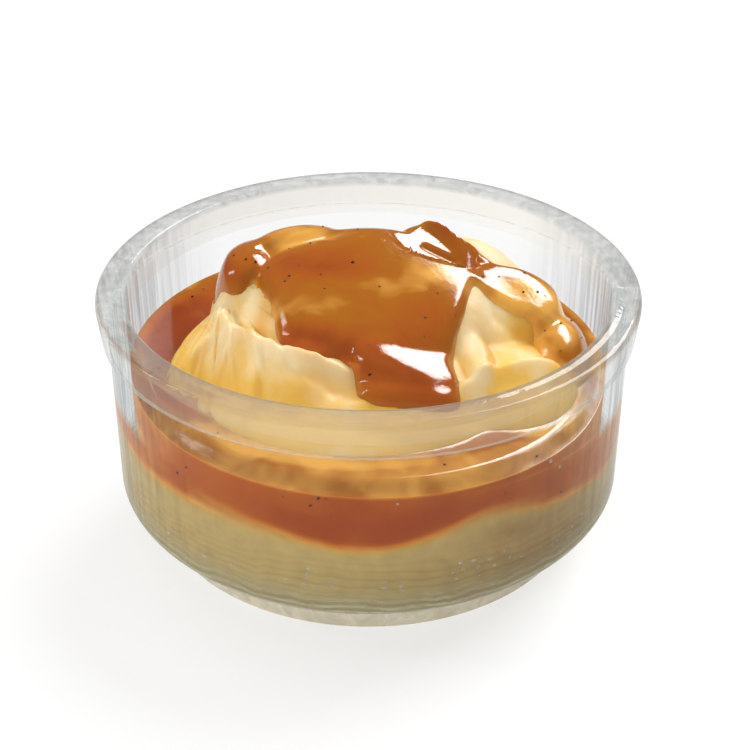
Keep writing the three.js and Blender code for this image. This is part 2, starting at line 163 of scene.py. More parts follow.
EDGE_PLUNGE = 6.0     # how steeply it goes down to the lower mash past the mound's edge
PLUNGE_START = 1.0    # from this far above that edge
TAPER_POWER = 8       # only gravy close to the glass follows its taper
STEEPEST = 1.8        # limit for thickness measured upright on a slope
SLOPE_STEP = 0.2      # distance over which a slope is measured

# Humps of mash side by side: middle, half widths, turn in degrees, height of the top, drop at
# the half width and roundness of the shoulder; some lean.
Scoop = namedtuple("Scoop", "x y wide deep turn top lean_x lean_y drop power")
SCOOPS = [
    Scoop(2.5, 0.0, 35.5, 33.0, 0, 41.0, 0, 0, 10.0, 3.0),  # body
    Scoop(0.4, -0.5, 23.0, 18.0, 0, 48.3, -0.02, 0.28, 5.0, 6.0),  # sheet slope
    Scoop(8.4, -17.0, 12.4, 8.5, -4, 41.2, -0.27, 0.22, 5.0, 5.0),  # shelf
    Scoop(11.6, 15.5, 11.5, 12.0, 0, 50.4, 0.0, 0.0, 10.0, 2.2),  # peak
    Scoop(-13.0, 13.5, 13.0, 7.5, 6, 50.6, 0.04, 0.12, 8.0, 3.0),  # back lobe
    Scoop(-22.6, 8.5, 6.6, 11.0, -8, 48.8, 0.1, 0.08, 7.0, 2.6),  # left lobe
    Scoop(27.2, 3.2, 10.0, 9.0, -12, 44.2, -0.28, 0.23, 5.0, 6.0),  # right tongue
    Scoop(24.0, 13.5, 12.0, 9.0, -20, 47.2, -0.5, 0.1, 8.0, 2.6),  # back right
    Scoop(7.0, -26.0, 12.0, 9.0, 0, 38.2, -0.08, 0.42, 5.0, 3.0),  # under the front tongue
    Scoop(24.5, -13.5, 13.0, 14.0, 0, 38.4, -0.05, 0.16, 5.0, 3.0),  # right-lower flat
    Scoop(22.5, -2.5, 7.0, 6.5, -30, 42.4, -0.2, 0.25, 4.0, 4.0),  # right facet
    Scoop(19.4, -13.6, 3.9, 8.0, 8, 41.3, -0.14, 0.24, 6.0, 4.0),  # curl
    Scoop(-13.5, -12.5, 15.5, 14.0, -30, 42.3, 0, 0.03, 6.0, 4.0),  # shoulder behind the crest
    Scoop(-4.0, -19.5, 25.0, 21.0, 0, 39.0, 0, 0.24, 5.0, 3.0),  # skirt
    Scoop(-26.5, -3.0, 9.5, 17.0, -25, 41.0, 0, 0.1, 8.0, 2.6),  # left flank
]

# Flat cuts of the spoon: where each lies and the plane that it leaves; it rises outside them.
CUTS = [
    Scoop(11.2, 12.2, 11.0, 6.6, -33, 47.8, -0.33, 0.27, -3.0, 8.0),  # facet of the peak
]

# Folds left by the spoon, bowed to their left: height (a furrow where it is negative), and
# width on the left and on the right. They rise and fade over these shares of their length.
FOLD_RISE = (-0.12, 0.18)
FOLD_FADE = (0.82, 1.12)
Fold = namedtuple("Fold", "start end bow height left right")
FOLDS = [
    Fold((-28.0, 2.5), (-3.6, -20.5), -7.0, 2.6, 2.0, 2.2),  # crest
    Fold((-26.5, -3.5), (-34.0, -13.0), 0.8, 1.2, 1.1, 1.4),
    Fold((-25.0, -6.5), (-30.0, -21.0), 1.2, 1.3, 1.1, 1.5),
    Fold((-22.0, -11.0), (-21.5, -27.0), 1.8, 1.1, 1.2, 1.8),
    Fold((15.5, -22.5), (37.0, -12.0), 1.6, 2.2, 1.3, 2.4),  # ripple on the right
    Fold((-14.0, -23.0), (0.0, -27.0), -1.0, 0.9, 1.8, 2.4),  # ledge
    Fold((-17.0, 3.5), (-1.0, 6.0), 1.0, -1.4, 2.0, 2.6),  # furrow
]

# Fine lines that fan out from one place: how many of each kind there would be in a full turn,
# their phase and their height, and the distances over which they rise and fade.
STREAK_START = (-27.0, 5.0)
STREAKS = [(37, 0.6, 0.19), (61, 2.1, 0.17), (97, 4.0, 0.1), (149, 1.3, 0.05)]
STREAK_RISE = (3.0, 9.0)
STREAK_FADE = (22.0, 40.0)

# Furrows and ridges in the gravy's own surface.
GRAVY_FOLDS = [
    Fold((-21.0, 9.0), (-5.0, 12.0), 0.8, -0.9, 1.2, 1.8),  # under the back lobe
    Fold((10.2, 12.6), (17.0, 10.8), 0.0, -0.8, 0.7, 0.8),  # slot in the peak's facet
    Fold((9.0, 20.5), (21.0, 8.0), 1.2, 0.7, 0.9, 0.7),  # sharp edge of the peak
]

# Outline of the gravy on the mound, counter-clockwise from above: the right tongue, the back
# with its own tongue, the left lobe, the edge along the crest and the tongue down the front.
GRAVY_OUTLINE = [
    (20.0, 0.8), (22.5, -0.8), (26.5, -3.0), (30.0, -3.4), (32.0, -8.0), (37.0, -10.5),
    (41.0, -6.0), (41.5, 3.0), (36.0, 7.4), (29.5, 9.6), (25.0, 9.8), (21.8, 11.4), (18.2, 15.4),
    (13.6, 20.2), (7.0, 19.6), (0.0, 19.5), (-4.5, 22.0), (-6.0, 36.5), (-12.5, 36.0),
    (-14.0, 23.0), (-22.0, 18.5), (-28.5, 12.0), (-29.6, 6.0), (-27.0, 1.6), (-23.8, 0.6),
    (-21.5, 2.2), (-20.0, -0.5), (-17.6, -6.5), (-16.0, -13.5), (-13.0, -17.6), (-9.2, -19.4),
    (-5.6, -17.6), (-3.6, -18.8), (-2.4, -22.4), (-1.4, -25.6), (2.0, -27.2), (7.0, -27.6),
    (13.0, -27.2), (16.0, -25.0), (16.6, -21.5), (15.3, -17.0), (15.8, -12.0), (17.6, -6.5),
    (18.8, -1.5),
]
OUTLINE_STEPS = 4     # points of the smooth outline for each of these

# Places with something more or less: middle, half widths, turn in degrees and the amount.
Spot = namedtuple("Spot", "x y wide deep turn amount")
THICK_SPOTS = [
    Spot(-10.0, -15.0, 8.0, 4.0, -25, 0.5),
    Spot(8.0, -20.0, 9.0, 5.0, 0, 0.5),
    Spot(30.5, 5.0, 6.0, 5.0, -30, 1.0),
    Spot(7.0, -29.0, 8.0, 8.0, 0, 0.6),
    Spot(-24.0, 7.0, 6.0, 8.0, 0, 0.6),
]

# Fat drop at the foot of the right tongue.
Drop = namedtuple("Drop", "x y z wide deep tall turn")
DROP = Drop(35.2, -2.4, 32.4, 6.2, 10.8, 8.0, -4)
DROP_SKIRT = 8.0      # how steeply its form goes on downwards outside it

# How the lower mash stands against the glass: bearing in degrees, width and rise.
BASE_TOP = 22.0
Wave = namedtuple("Wave", "bearing width rise")
BASE_WAVES = [
    Wave(-92, 17, -2.3),
    Wave(-62, 11, 2.6),
    Wave(-22, 16, -2.6),
    Wave(-135, 22, 1.4),
    Wave(-165, 14, 2.4),
    Wave(40, 26, 1.6),
    Wave(95, 22, -1.5),
    Wave(140, 18, 1.3),
]

# How deep in colour the gravy looks, from 0, a film, to 1, the deepest brown. Its free surface
# goes by its thickness and by these spots: dark where it gathers, amber where the mash shines
# through.
FILM_SHADE = 0.18     # of the thinnest gravy
SHADE_PER_MM = 0.16
DARKEST_DEPTH = 3.2   # thicker gravy looks no darker
GLASS_PALING = 0.5    # it pales by this much where it meets the glass
PALING_RING = 0.9     # from this share of the radius outwards
FRONT_PALING = 0.12   # and sooner by this share in front
FRONT = (0.3, 0.8)    # shares of the radius in front of the axis where that comes in
COLOUR_SPOTS = [
    Spot(35.6, -3.0, 6.0, 9.0, 0, -0.7),
    Spot(-12.0, 1.0, 6.0, 5.0, 0, 0.12),
    Spot(9.0, -9.0, 6.0, 4.0, 0, 0.15),
    Spot(13.0, 0.5, 6.0, 3.0, -15, -0.4),
    Spot(29.5, 0.0, 6.0, 4.0, -15, -0.6),
    Spot(-14.0, 14.0, 6.0, 3.5, 0, -0.3),
    Spot(-9.0, -16.0, 13.0, 4.5, -12, 0.45),
    Spot(8.0, -24.0, 8.0, 7.0, 0, 0.35),
    Spot(-4.0, 1.5, 12.0, 3.0, 0, 0.30),
    Spot(-12.0, -8.0, 9.0, 4.0, -20, -0.20),
    Spot(3.0, -1.0, 7.0, 5.0, 0, -0.15),
    Spot(-37.0, 3.0, 7.0, 16.0, 0, 0.6),
]

# The same against the glass, by the height above the lower mash.
BAND_EDGE_SHADE = 0.1  # where it meets the mash
BAND_SHADE = 0.9      # how much darker it gets above that
BAND_RISE = 2.2       # within this height
SIDE_PALING = 0.72    # less at the sides
TOP_PALING = 0.2      # and less towards the top
TOP_PALING_RISE = (4.0, 11.0)
BAND_RINGS = (0.995, 0.999)  # shares of the radius over which its colour takes over
BAND_TOP = 0.999      # and below this share of the gravy's own height

# A thin smear of gravy soaked into the lower mash, then painted shade over a wide patch at the
# front right: bearing in degrees and height, and their spreads.
SOAKS_AND_SHADE = [
    Spot(-53, 20, 10, 1.7, 0, 0.55),
    Spot(-48, 12, 26, 9, 0, 0.45),
]

# Mash that thin gravy has soaked into, close to the gravy's outline and the pool, and in spots
# here; the spots in the hollow behind the crest, under the gravy's lower lip and beside the
# curl are painted shade.
STAIN_DEPTH = 1.6     # in the lower mash, below the gravy
OUTLINE_STAIN = 1.2
POOL_STAIN = 0.7
EDGE_STAIN = 0.5      # its strength at the outline and at the pool
DEEPEST_STAIN_AND_SHADE = 0.8
STAIN_AND_SHADE_SPOTS = [
    Spot(30.0, -6.5, 3.5, 5.0, 0, 0.55),
    Spot(-28.0, -17.0, 6.0, 8.0, 0, 0.45),
    # Painted shade: under the gravy's lower lip, beside the curl and in the hollow behind the
    # crest.
    Spot(-7.0, -24.0, 10.0, 2.6, -8, 0.55),
    Spot(21.2, -10.5, 2.6, 4.5, 10, 0.55),
    Spot(-19.5, -7.0, 2.2, 8.0, -22, 0.6),
    Spot(-31.0, -4.0, 2.5, 6.0, 0, 0.4),
]
BUTTERY_HEIGHT = 36.0  # the mound is buttery at this height
CREAMY_HEIGHT = 44.0  # and paler cream from this height
LUMP_SIZE = 5.0       # soft lumps of the mash
SHARP_ANGLE = 50.0    # edges that turn by more than this stay crisp
UPRIGHT = 0.5         # a face stands upright if its normal leans up or down by less

# Pepper and bubbles, with sizes as shares of the mean speck and the largest bubble.
PEPPER_SEED = 41
BUBBLE_SEED = 17
PEPPER_TRIES = 50     # places looked at for each speck before it is given up
PEPPER_REACH = 0.97   # share of the food's radius within which specks lie
PEPPER_COVER = 0.8    # least thickness of gravy under a speck
PEPPER_BAND = (1.5, 0.5)  # how far specks at the glass keep from the foot and top of the gravy
SPECK_SIZES = (0.45, 1.35)
SPECK_WIDTHS = (0.5, 0.9)
SPECK_HEIGHT = 0.5
SPECK_CRACKS = 0.12
BAND_BUBBLES = (BASE_TOP + 1.0, POOL_LEVEL - 1.5)
FOOT_BUBBLES = (INNER_CORNER_HEIGHT, INNER_CORNER_HEIGHT + 3.5)
BUBBLE_SIZES = (0.3, 1.0)
BUBBLE_WIDTHS = (0.8, 1.5)
BUBBLE_DEPTH = 0.35

# ------------------------------------------------------------------ the stage

FLOOR_SIZE = 6.0      # in metres
CAMERA_BACK = 249.0
CAMERA_HEIGHT = 177.7
CAMERA_PITCH = 31.05  # degrees below level
SENSOR_WIDTH = 36.0
PICTURE_PIXELS = 750
FOCAL_PIXELS = 1517.5
MIDDLE_PIXEL = 368.5  # column of the bowl's axis
NEAREST = 0.01        # in metres
FOCUS_HEIGHT = 38.0   # the lights are aimed at this height

# Lights: azimuth in degrees clockwise from the back, elevation, distance and size in metres,
# the setting that holds the power, and whether the light shows in reflections.
Lamp = namedtuple("Lamp", "name azimuth elevation distance size power shows")
LAMPS = [
    Lamp("back_softbox", 36, 42, 1.6, (0.98, 0.67), "key_watts", True),
    Lamp("left_strip", -78, 36, 1.2, (0.1, 0.5), "strip_watts", True),
    Lamp("top_scrim", -60, 72, 1.5, (1.0, 1.0), "top_watts", False),
    Lamp("front_scrim", -145, 32, 1.5, (1.0, 0.6), "front_watts", False),
]

# ------------------------------------------------------------------ surfaces as formulas


def on_spot(x, y, spot):
    """Coordinates in a spot's own turned frame, in half widths."""
    c = math.cos(math.radians(spot.turn))
    s = math.sin(math.radians(spot.turn))
    dx = x - spot.x
    dy = y - spot.y
    return (dx * c + dy * s) / spot.wide, (dy * c - dx * s) / spot.deep


def spread(x, y, spots):
    """Sum of the spots' amounts at (x, y), each fading like a bell."""
    total = np.zeros_like(x)
    for spot in spots:
        u, v = on_spot(x, y, spot)
        total += spot.amount * np.exp(-(u * u + v * v))
    return total


def eased(value, low, high):
    """0 at low and 1 at high, smooth between."""
    t = np.clip((value - low) / (high - low), 0.0, 1.0)
    return t * t * (3 - 2 * t)


def melded(heights, sharpness):
    """The highest of several heights, rounded where they cross."""
    stack = np.stack(heights)
    highest = stack.max(axis=0)
    return highest + np.log(np.exp(sharpness * (stack - highest)).sum(axis=0)) / sharpness


def fold_height(x, y, fold):
    """Height that one fold adds."""
    dx = fold.end[0] - fold.start[0]
    dy = fold.end[1] - fold.start[1]
    length = math.hypot(dx, dy)
    along = ((x - fold.start[0]) * dx + (y - fold.start[1]) * dy) / length**2
    across = ((y - fold.start[1]) * dx - (x - fold.start[0]) * dy) / length
    middle = np.clip(along, 0.0, 1.0)
    offset = across - 4 * fold.bow * middle * (1 - middle)
    width = np.where(offset > 0, fold.left, fold.right)
    ends = eased(along, *FOLD_RISE) * (1 - eased(along, *FOLD_FADE))
    return fold.height * np.exp(-((offset / width) ** 2)) * ends


def scoop_height(x, y, scoop):
    """Height of one scoop, or of one cut, whose drop is negative."""
    u, v = on_spot(x, y, scoop)
    lean = scoop.lean_x * (x - scoop.x) + scoop.lean_y * (y - scoop.y)
    return scoop.top + lean - scoop.drop * np.minimum(np.hypot(u, v), SCOOP_REACH) ** scoop.power


def body_height(x, y):
    """The mound without its folds: the scoops melded together, less the cuts."""
    heaped = melded([scoop_height(x, y, scoop) for scoop in SCOOPS], MELD)
    return -melded([-heaped, *(-scoop_height(x, y, cut) for cut in CUTS)], CUT_MELD)


def mound_height(x, y):
    """Top surface of the mound, with its folds."""
    return body_height(x, y) + sum(fold_height(x, y, fold) for fold in FOLDS)


def streak_height(x, y):
    """Fine lines that the spoon drew down the mash, fanning out from the top of the crest."""
    dx = x - STREAK_START[0]
    dy = y - STREAK_START[1]
    bearing = np.arctan2(dy, dx)
    lines = sum(high * np.sin(count * bearing + phase) for count, phase, high in STREAKS)
    far = np.hypot(dx, dy)
    return lines * eased(far, *STREAK_RISE) * (1 - eased(far, *STREAK_FADE))


def mound_slope(x, y):
    """Upright thickness over true thickness, on the mound's slope."""
    step = SLOPE_STEP
    along_x = (body_height(x + step, y) - body_height(x - step, y)) / (2 * step)
    along_y = (body_height(x, y + step) - body_height(x, y - step)) / (2 * step)
    return np.minimum(np.sqrt(1 + along_x**2 + along_y**2), STEEPEST)


def base_height(x, y):
    """Top surface of the lower mash: its waves show at the glass and fade inwards."""
    bearing = np.degrees(np.arctan2(y, x))
    reach = np.minimum(np.hypot(x, y) / FOOD_RADIUS, 1.0) ** 2
    rise = np.zeros_like(x)
    for wave in BASE_WAVES:
        turn = (bearing - wave.bearing + 180) % 360 - 180
        rise += wave.rise * np.exp(-((turn / wave.width) ** 2))
    return BASE_TOP + rise * reach


def floor_height(x, y):
    """Inside of the glass: flat, then up the rounded corner."""
    out = np.clip((np.hypot(x, y) - FLOOR_RADIUS) / (INNER_FOOT_RADIUS - FLOOR_RADIUS), 0, 1)
    return INNER_CORNER_HEIGHT - (INNER_CORNER_HEIGHT - FLOOR_HEIGHT) * np.sqrt(1 - out**2)


def wall_radius(z):
    """Inside radius of the glass above its corner."""
    share = (z - INNER_CORNER_HEIGHT) / (BOWL_HEIGHT - MOUTH_ROUNDING - INNER_CORNER_HEIGHT)
    return INNER_FOOT_RADIUS + (MOUTH_RADIUS - INNER_FOOT_RADIUS) * np.clip(share, 0.0, 1.0)


def smooth_loop(corners, steps):
    """Closed smooth curve through the corners."""
    points = np.array(corners, float)
    t = np.linspace(0, 1, steps, endpoint=False)[:, None]
    loop = []
    for i in range(len(points)):
        a, b, c, d = (points[(i + k) % len(points)] for k in (-1, 0, 1, 2))
        bend = (2 * a - 5 * b + 4 * c - d) * t**2 + (3 * b - a - 3 * c + d) * t**3
        loop.append(b + 0.5 * ((c - a) * t + bend))
    return np.concatenate(loop)


def inset_depth(x, y):
    """Distance inside the gravy's outline, negative outside it."""
    loop = smooth_loop(GRAVY_OUTLINE, OUTLINE_STEPS)
    nearest = np.full_like(x, np.inf)
    inside = np.zeros(x.shape, bool)
    for a, b in zip(loop, np.roll(loop, -1, axis=0)):
        ex, ey = b - a
        t = np.clip(((x - a[0]) * ex + (y - a[1]) * ey) / (ex * ex + ey * ey), 0.0, 1.0)
        nearest = np.minimum(nearest, np.hypot(x - a[0] - t * ex, y - a[1] - t * ey))
        if a[1] != b[1]:
            beside = (a[1] > y) != (b[1] > y)
            inside ^= beside & (x < a[0] + ex * (y - a[1]) / ey)
    return np.where(inside, nearest, -nearest)


def coat_thickness(x, y):
    """Thickness of the gravy on the mound, with a rounded lip; negative where there is none."""
    full = GRAVY_COAT + spread(x, y, THICK_SPOTS)
    share = np.clip((inset_depth(x, y) + GRAVY_CREEP) / GRAVY_EDGE, 0.0, 1.0)
    return (SKIN + full) * np.sqrt(1 - (1 - share) ** 2) - SKIN


def pool_height(x, y):
    """Surface of the gravy pool."""
    shoulder = eased(np.hypot(x, y) / FOOD_RADIUS, *SHOULDER_RINGS)
    front = eased(-y / FOOD_RADIUS, 0.0, SHOULDER_SPREAD)
    return POOL_LEVEL + POOL_TILT * x - POOL_SHOULDER * (shoulder * front)


def drop_height(x, y):
    """Top of the fat drop, going on steeply downwards outside it."""
    u, v = on_spot(x, y, DROP)
    q = u * u + v * v
    dome = DROP.z + DROP.tall * np.sqrt(np.clip(1 - q, 0.0, 1.0))
    return np.where(q < 1, dome, DROP.z - DROP_SKIRT * (np.sqrt(q) - 1))


def gravy_top(x, y):
    """Top surface of all the gravy: the coat on the mound, the drop and the pool."""
    thickness = coat_thickness(x, y)
    upright = thickness * np.where(thickness > 0, mound_slope(x, y), 1.0)
    creases = sum(fold_height(x, y, fold) for fold in GRAVY_FOLDS)
    coat = body_height(x, y) + upright + creases * eased(thickness, 0.0, GRAVY_COAT)
    return melded([coat, pool_height(x, y), drop_height(x, y)], GRAVY_MELD)


def gravy_floor(x, y):
    """Underside of the gravy: a little inside the mound, and the lower mash outside it."""
    mound = mound_height(x, y)
    plunge = EDGE_PLUNGE * np.maximum(MOUND_EDGE_HEIGHT + PLUNGE_START - mound, 0.0)
    return melded([base_height(x, y), mound - SKIN_FLOOR - plunge], GRAVY_MELD)


def mound_edge(bearing):
    """Radius at which the mound's surface comes down to its lower edge, found by halving."""
    near = np.full_like(bearing, MOUND_CORE_RADIUS)
    far = np.full_like(bearing, FOOD_RADIUS)
    for _ in range(HALVINGS):
        middle = (near + far) / 2
        above = mound_height(middle * np.cos(bearing), middle * np.sin(bearing)) > MOUND_EDGE_HEIGHT
        near = np.where(above, middle, near)
        far = np.where(above, far, middle)
    return near


def free_shade(x, y, top):
    """Depth of colour of the gravy's free surface at this height."""
    thickness = np.minimum(top - mound_height(x, y), top - base_height(x, y))
    shade = FILM_SHADE + SHADE_PER_MM * np.clip(thickness, 0, DARKEST_DEPTH)
    shade += spread(x, y, COLOUR_SPOTS)
    reach = np.hypot(x, y) / FOOD_RADIUS + FRONT_PALING * eased(-y / FOOD_RADIUS, *FRONT)
    return shade - GLASS_PALING * eased(reach, PALING_RING, 1.0)


def band_shade(x, above):
    """Depth of colour of the gravy against the glass, this far above the lower mash."""
    rise = BAND_SHADE - SIDE_PALING * (np.abs(x) / FOOD_RADIUS) ** 2
    shade = BAND_EDGE_SHADE + rise * eased(above, 0.0, BAND_RISE)
    return shade - TOP_PALING * eased(above, *TOP_PALING_RISE)


# ------------------------------------------------------------------ making meshes


def alone(piece):
    """Leaves only this piece selected and active."""
    bpy.ops.object.select_all(action="DESELECT")
    piece.select_set(True)
    bpy.context.view_layer.objects.active = piece


def spun(name, line, steps):
    """Closed body: an open line in the XZ plane, from the axis back to the axis, spun round Z."""
    mesh = bpy.data.meshes.new(name)
    edges = [(i, i + 1) for i in range(len(line) - 1)]
    mesh.from_pydata([(x * MM, 0.0, z * MM) for x, z in line], edges, [])
    piece = bpy.data.objects.new(name, mesh)
    bpy.context.collection.objects.link(piece)
    alone(piece)
    bpy.ops.object.mode_set(mode="EDIT")
    bpy.ops.mesh.select_all(action="SELECT")
    bpy.ops.mesh.spin(steps=steps, angle=2 * math.pi, center=(0, 0, 0), axis=(0, 0, 1))
    bpy.ops.mesh.select_all(action="SELECT")
    bpy.ops.mesh.remove_doubles(threshold=0.001 * MM)
    bpy.ops.mesh.normals_make_consistent(inside=False)
    bpy.ops.object.mode_set(mode="OBJECT")
    return piece


def places(piece):
    """The vertices of a piece in millimetres, as three columns."""
    found = np.empty(len(piece.data.vertices) * 3)
    piece.data.vertices.foreach_get("co", found)
    return found.reshape(-1, 3).T / MM


def move_to(piece, x, y, z):
    """Moves the vertices of a piece to these places, in millimetres."""
    moved = np.stack([x, y, z], axis=1) * MM
    piece.data.vertices.foreach_set("co", moved.ravel())
    piece.data.update()


def paint(piece, name, values):
    """Writes one number for each vertex, for the piece's material."""
    attribute = piece.data.attributes.new(name, "FLOAT", "POINT")
    attribute.data.foreach_set("value", np.asarray(values, np.float32))


def modify(piece, kind, **settings):
    """Adds a modifier and applies it."""
    alone(piece)
    modifier = piece.modifiers.new(kind.title(), kind)
    for name, value in settings.items():
        setattr(modifier, name, value)
    bpy.ops.object.modifier_apply(modifier=modifier.name)


def roughen(piece, grain, depth):
    """Soft lumps of this size and height, in millimetres, along the surface's normals."""
    clouds = bpy.data.textures.new(piece.name + "_lumps", "CLOUDS")
    clouds.noise_scale = grain * MM
    clouds.noise_depth = 2
    modify(piece, "DISPLACE", texture=clouds, texture_coords="LOCAL", strength=depth * MM)
    bpy.data.textures.remove(clouds)


def upright_faces(piece):
    """True for the faces that stand upright."""
    normals = np.empty(len(piece.data.polygons) * 3)
    piece.data.polygons.foreach_get("normal", normals)
    return np.abs(normals.reshape(-1, 3)[:, 2]) < UPRIGHT


def finished(piece, materials, node, second=None):
    """Smooth shading, its materials, its body and what it stands for. The faces marked as
    second take the second material."""
    if not piece.data.polygons:
        raise RuntimeError(piece.name + " has no faces")
    alone(piece)
    bpy.ops.object.shade_smooth_by_angle(angle=math.radians(SHARP_ANGLE))
    piece.data.materials.clear()
    for material in materials:
        piece.data.materials.append(material)
    if second is not None:
        piece.data.polygons.foreach_set("material_index", second.astype(np.int32))
    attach(piece, "root")
    if node:
        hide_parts(*node)


def join(pieces, name):
    """Makes one piece of many."""
    bpy.ops.object.select_all(action="DESELECT")
    for piece in pieces:
        piece.select_set(True)
    bpy.context.view_layer.objects.active = pieces[0]
    bpy.ops.object.join()
    joined = bpy.context.active_object
    joined.name = name
    joined.data.transform(joined.matrix_world)
    joined.matrix_world = Matrix.Identity(4)
    return joined


def between(name, rings_below, rings_above, wall_steps):
    """Disc of radius 1 between 0 and 1 in height, with rings at these shares of its radius."""
    below = [(part, 0.0) for part in rings_below]
    wall = [(1.0, k / wall_steps) for k in range(wall_steps + 1)]
    above = [(part, 1.0) for part in reversed(rings_above)]
    return spun(name, [(0.0, 0.0), *below, *wall, *above, (0.0, 1.0)], FOOD_SIDES)


def shares(count):
    """Even shares of a radius, without the axis and the wall."""
    return [k / count for k in range(1, count)]


def bead(subdivisions, width, form):
    """Small ball of this width, given its form and place by a matrix."""
    bpy.ops.object.select_all(action="DESELECT")
    bpy.ops.mesh.primitive_ico_sphere_add(subdivisions=subdivisions, radius=width / 2)
    made = bpy.context.active_object
    made.data.transform(form)
    return made


# ------------------------------------------------------------------ materials


def add_node(tree, kind, *values, named=None, stops=(), **settings):
    """Adds a shader node with its settings. The values go to its live inputs in their order, and
    the named ones to the inputs with those names. A value is a number, a colour, a socket to
    link, or a node, whose first live output is linked."""
    node = tree.nodes.new("ShaderNode" + kind)
    for name, value in settings.items():
        setattr(node, name, value)
    live = [entry for entry in node.inputs if entry.enabled]
    given = list(zip(live, values))
    given += [(node.inputs[name], value) for name, value in (named or {}).items()]
    for entry, value in given:
        if isinstance(value, bpy.types.Node):
            value = next(output for output in value.outputs if output.enabled)
        if isinstance(value, bpy.types.NodeSocket):
            tree.links.new(value, entry)
        elif entry.type == "RGBA":
            entry.default_value = (*value, 1.0)
        else:
            entry.default_value = value
    for i, (position, colour) in enumerate(stops):
        elements = node.color_ramp.elements
        element = elements[i] if i < len(elements) else elements.new(position)
        element.position = position
        element.color = (*colour, 1.0)
    return node


def new_material(name):
    """Empty node material, and add_node for its tree."""
    material = bpy.data.materials.new(name)
    material.use_nodes = True
    material.node_tree.nodes.clear()
    return material, partial(add_node, material.node_tree)


def per_metre(millimetres):
    """Scale of a texture whose pattern has this size."""
    return 1.0 / (millimetres * MM)


# What the looks of the glass are made of: the place, its height, how edge-on it is seen, whether
# it is seen from inside, the shares of the rim, the foot and the back, and the two patterns.
GlassLooks = namedtuple("GlassLooks", "where height facing inside rim foot back dapples lines")


def glass_looks(add):
    """Measures and patterns that the glass's tint, bending and haze share."""
    where = add("TexCoord").outputs["Object"]
    place = add("SeparateXYZ", where)
    height = place.outputs["Z"]
    top = BOWL_HEIGHT * MM
    lines = add(
        "TexWave", where, per_metre(MOULD_LINE_SIZE), 7.0, 2.0, 0.6,
        wave_type="BANDS", bands_direction="Z",
    )
    return GlassLooks(
        where=where,
        height=height,
        facing=add("LayerWeight", 0.5).outputs["Facing"],
        inside=add("NewGeometry").outputs["Backfacing"],
        rim=add("MapRange", height, top - RIM_DEPTH * MM, top - RIM_SKIN * MM),
        foot=add("MapRange", height, FOOT_FADE_TOP * MM, FOOT_FADE_END * MM),
        # The painted reflection of the darker room in the glass shows mostly at the back.
        back=add("MapRange", place.outputs["Y"], -RIM_RADIUS * MM, 0.0, FRONT_SHARE),
        dapples=add("TexNoise", where, per_metre(DAPPLE_SIZE), 2.5, named={"Distortion": 1.2}),
        lines=lines.outputs["Fac"],
    )


def glass_tint(add, looks, settings):
    """Grey streaks where the wall is seen edge-on, most of them at the back, then the mould
    lines and the thick base, and the dapples of the rim last. The grey of the streaks and the
    dapples is partly the glass's own tint and partly painted reflection of the darker room,
    which is why both are stronger at the back."""
    tall = add("Mapping", looks.where, named={"Scale": (1.0, 1.0, 0.04)})
    streaks = add("TexNoise", tall, per_metre(GLASS_STREAK_SIZE), 2.0)
    # Edge-on grey: partly the glass's own tint, partly painted reflection of the darker room.
    edge_on = add("MapRange", looks.facing, 0.25, 1.0)
    streaked = add("MapRange", streaks, 0.4, 0.6, 0.35, 1.15)
    grey = add("Math", edge_on, streaked, operation="MULTIPLY")
    grey = add("Math", grey, looks.back, operation="MULTIPLY")
    tint = add("Mix", grey, settings.glass_colour, settings.glass_edge, data_type="RGBA")
    low = add("MapRange", looks.height, MOULD_LINE_TOP * MM, FOOT_FADE_TOP * MM)
    lined = add("MapRange", looks.lines, 0.55, 0.9, 0.0, 0.3)
    line_share = add("Math", low, lined, operation="MULTIPLY")
    foot_share = add("Math", looks.foot, line_share, operation="MAXIMUM")
    tint = add("Mix", foot_share, tint, settings.glass_foot, data_type="RGBA")
    # The rim's dapples: partly its own uneven glass, partly painted reflection of the room.
    shades = [(0.3, settings.rim_dark), (0.68, settings.rim_light)]
    rim_tint = add("ValToRGB", looks.dapples, stops=shades)
    dappled = add("Math", looks.rim, looks.back, operation="MULTIPLY")
    return add("Mix", dappled, tint, rim_tint, data_type="RGBA")


def glass_bend(add, looks):
    """Share of the light that bends: some in the thick rim and foot, and all of it on the way in
    where glass in front of food is seen at a slant or is part of the corner, so that the food
    fills it out to the outline."""
    soft_foot = add("Math", looks.foot, FOOT_BEND, operation="MULTIPLY")
    thick = add("Math", looks.rim, soft_foot, operation="MAXIMUM")
    thick_bend = add("MapRange", thick, 0.0, 1.0, 0.0, THICK_BEND)
    filled = add("MapRange", looks.height, POOL_LEVEL * MM, FULL_BEND_HEIGHT * MM)
    slanted = add("MapRange", looks.facing, 0.25, 0.5)
    cornered = add("MapRange", looks.height, CORNER_BEND_TOP * MM, CORNER_HAZE_TOP * MM)
    curved = add("Math", slanted, cornered, operation="MAXIMUM")
    food_bend = add("Math", filled, curved, operation="MULTIPLY")
    entering = add("MapRange", looks.inside, 0.0, 1.0, 1.0, 0.0)
    food_bend = add("Math", food_bend, entering, operation="MULTIPLY")
    return add("Math", thick_bend, food_bend, operation="MAXIMUM")


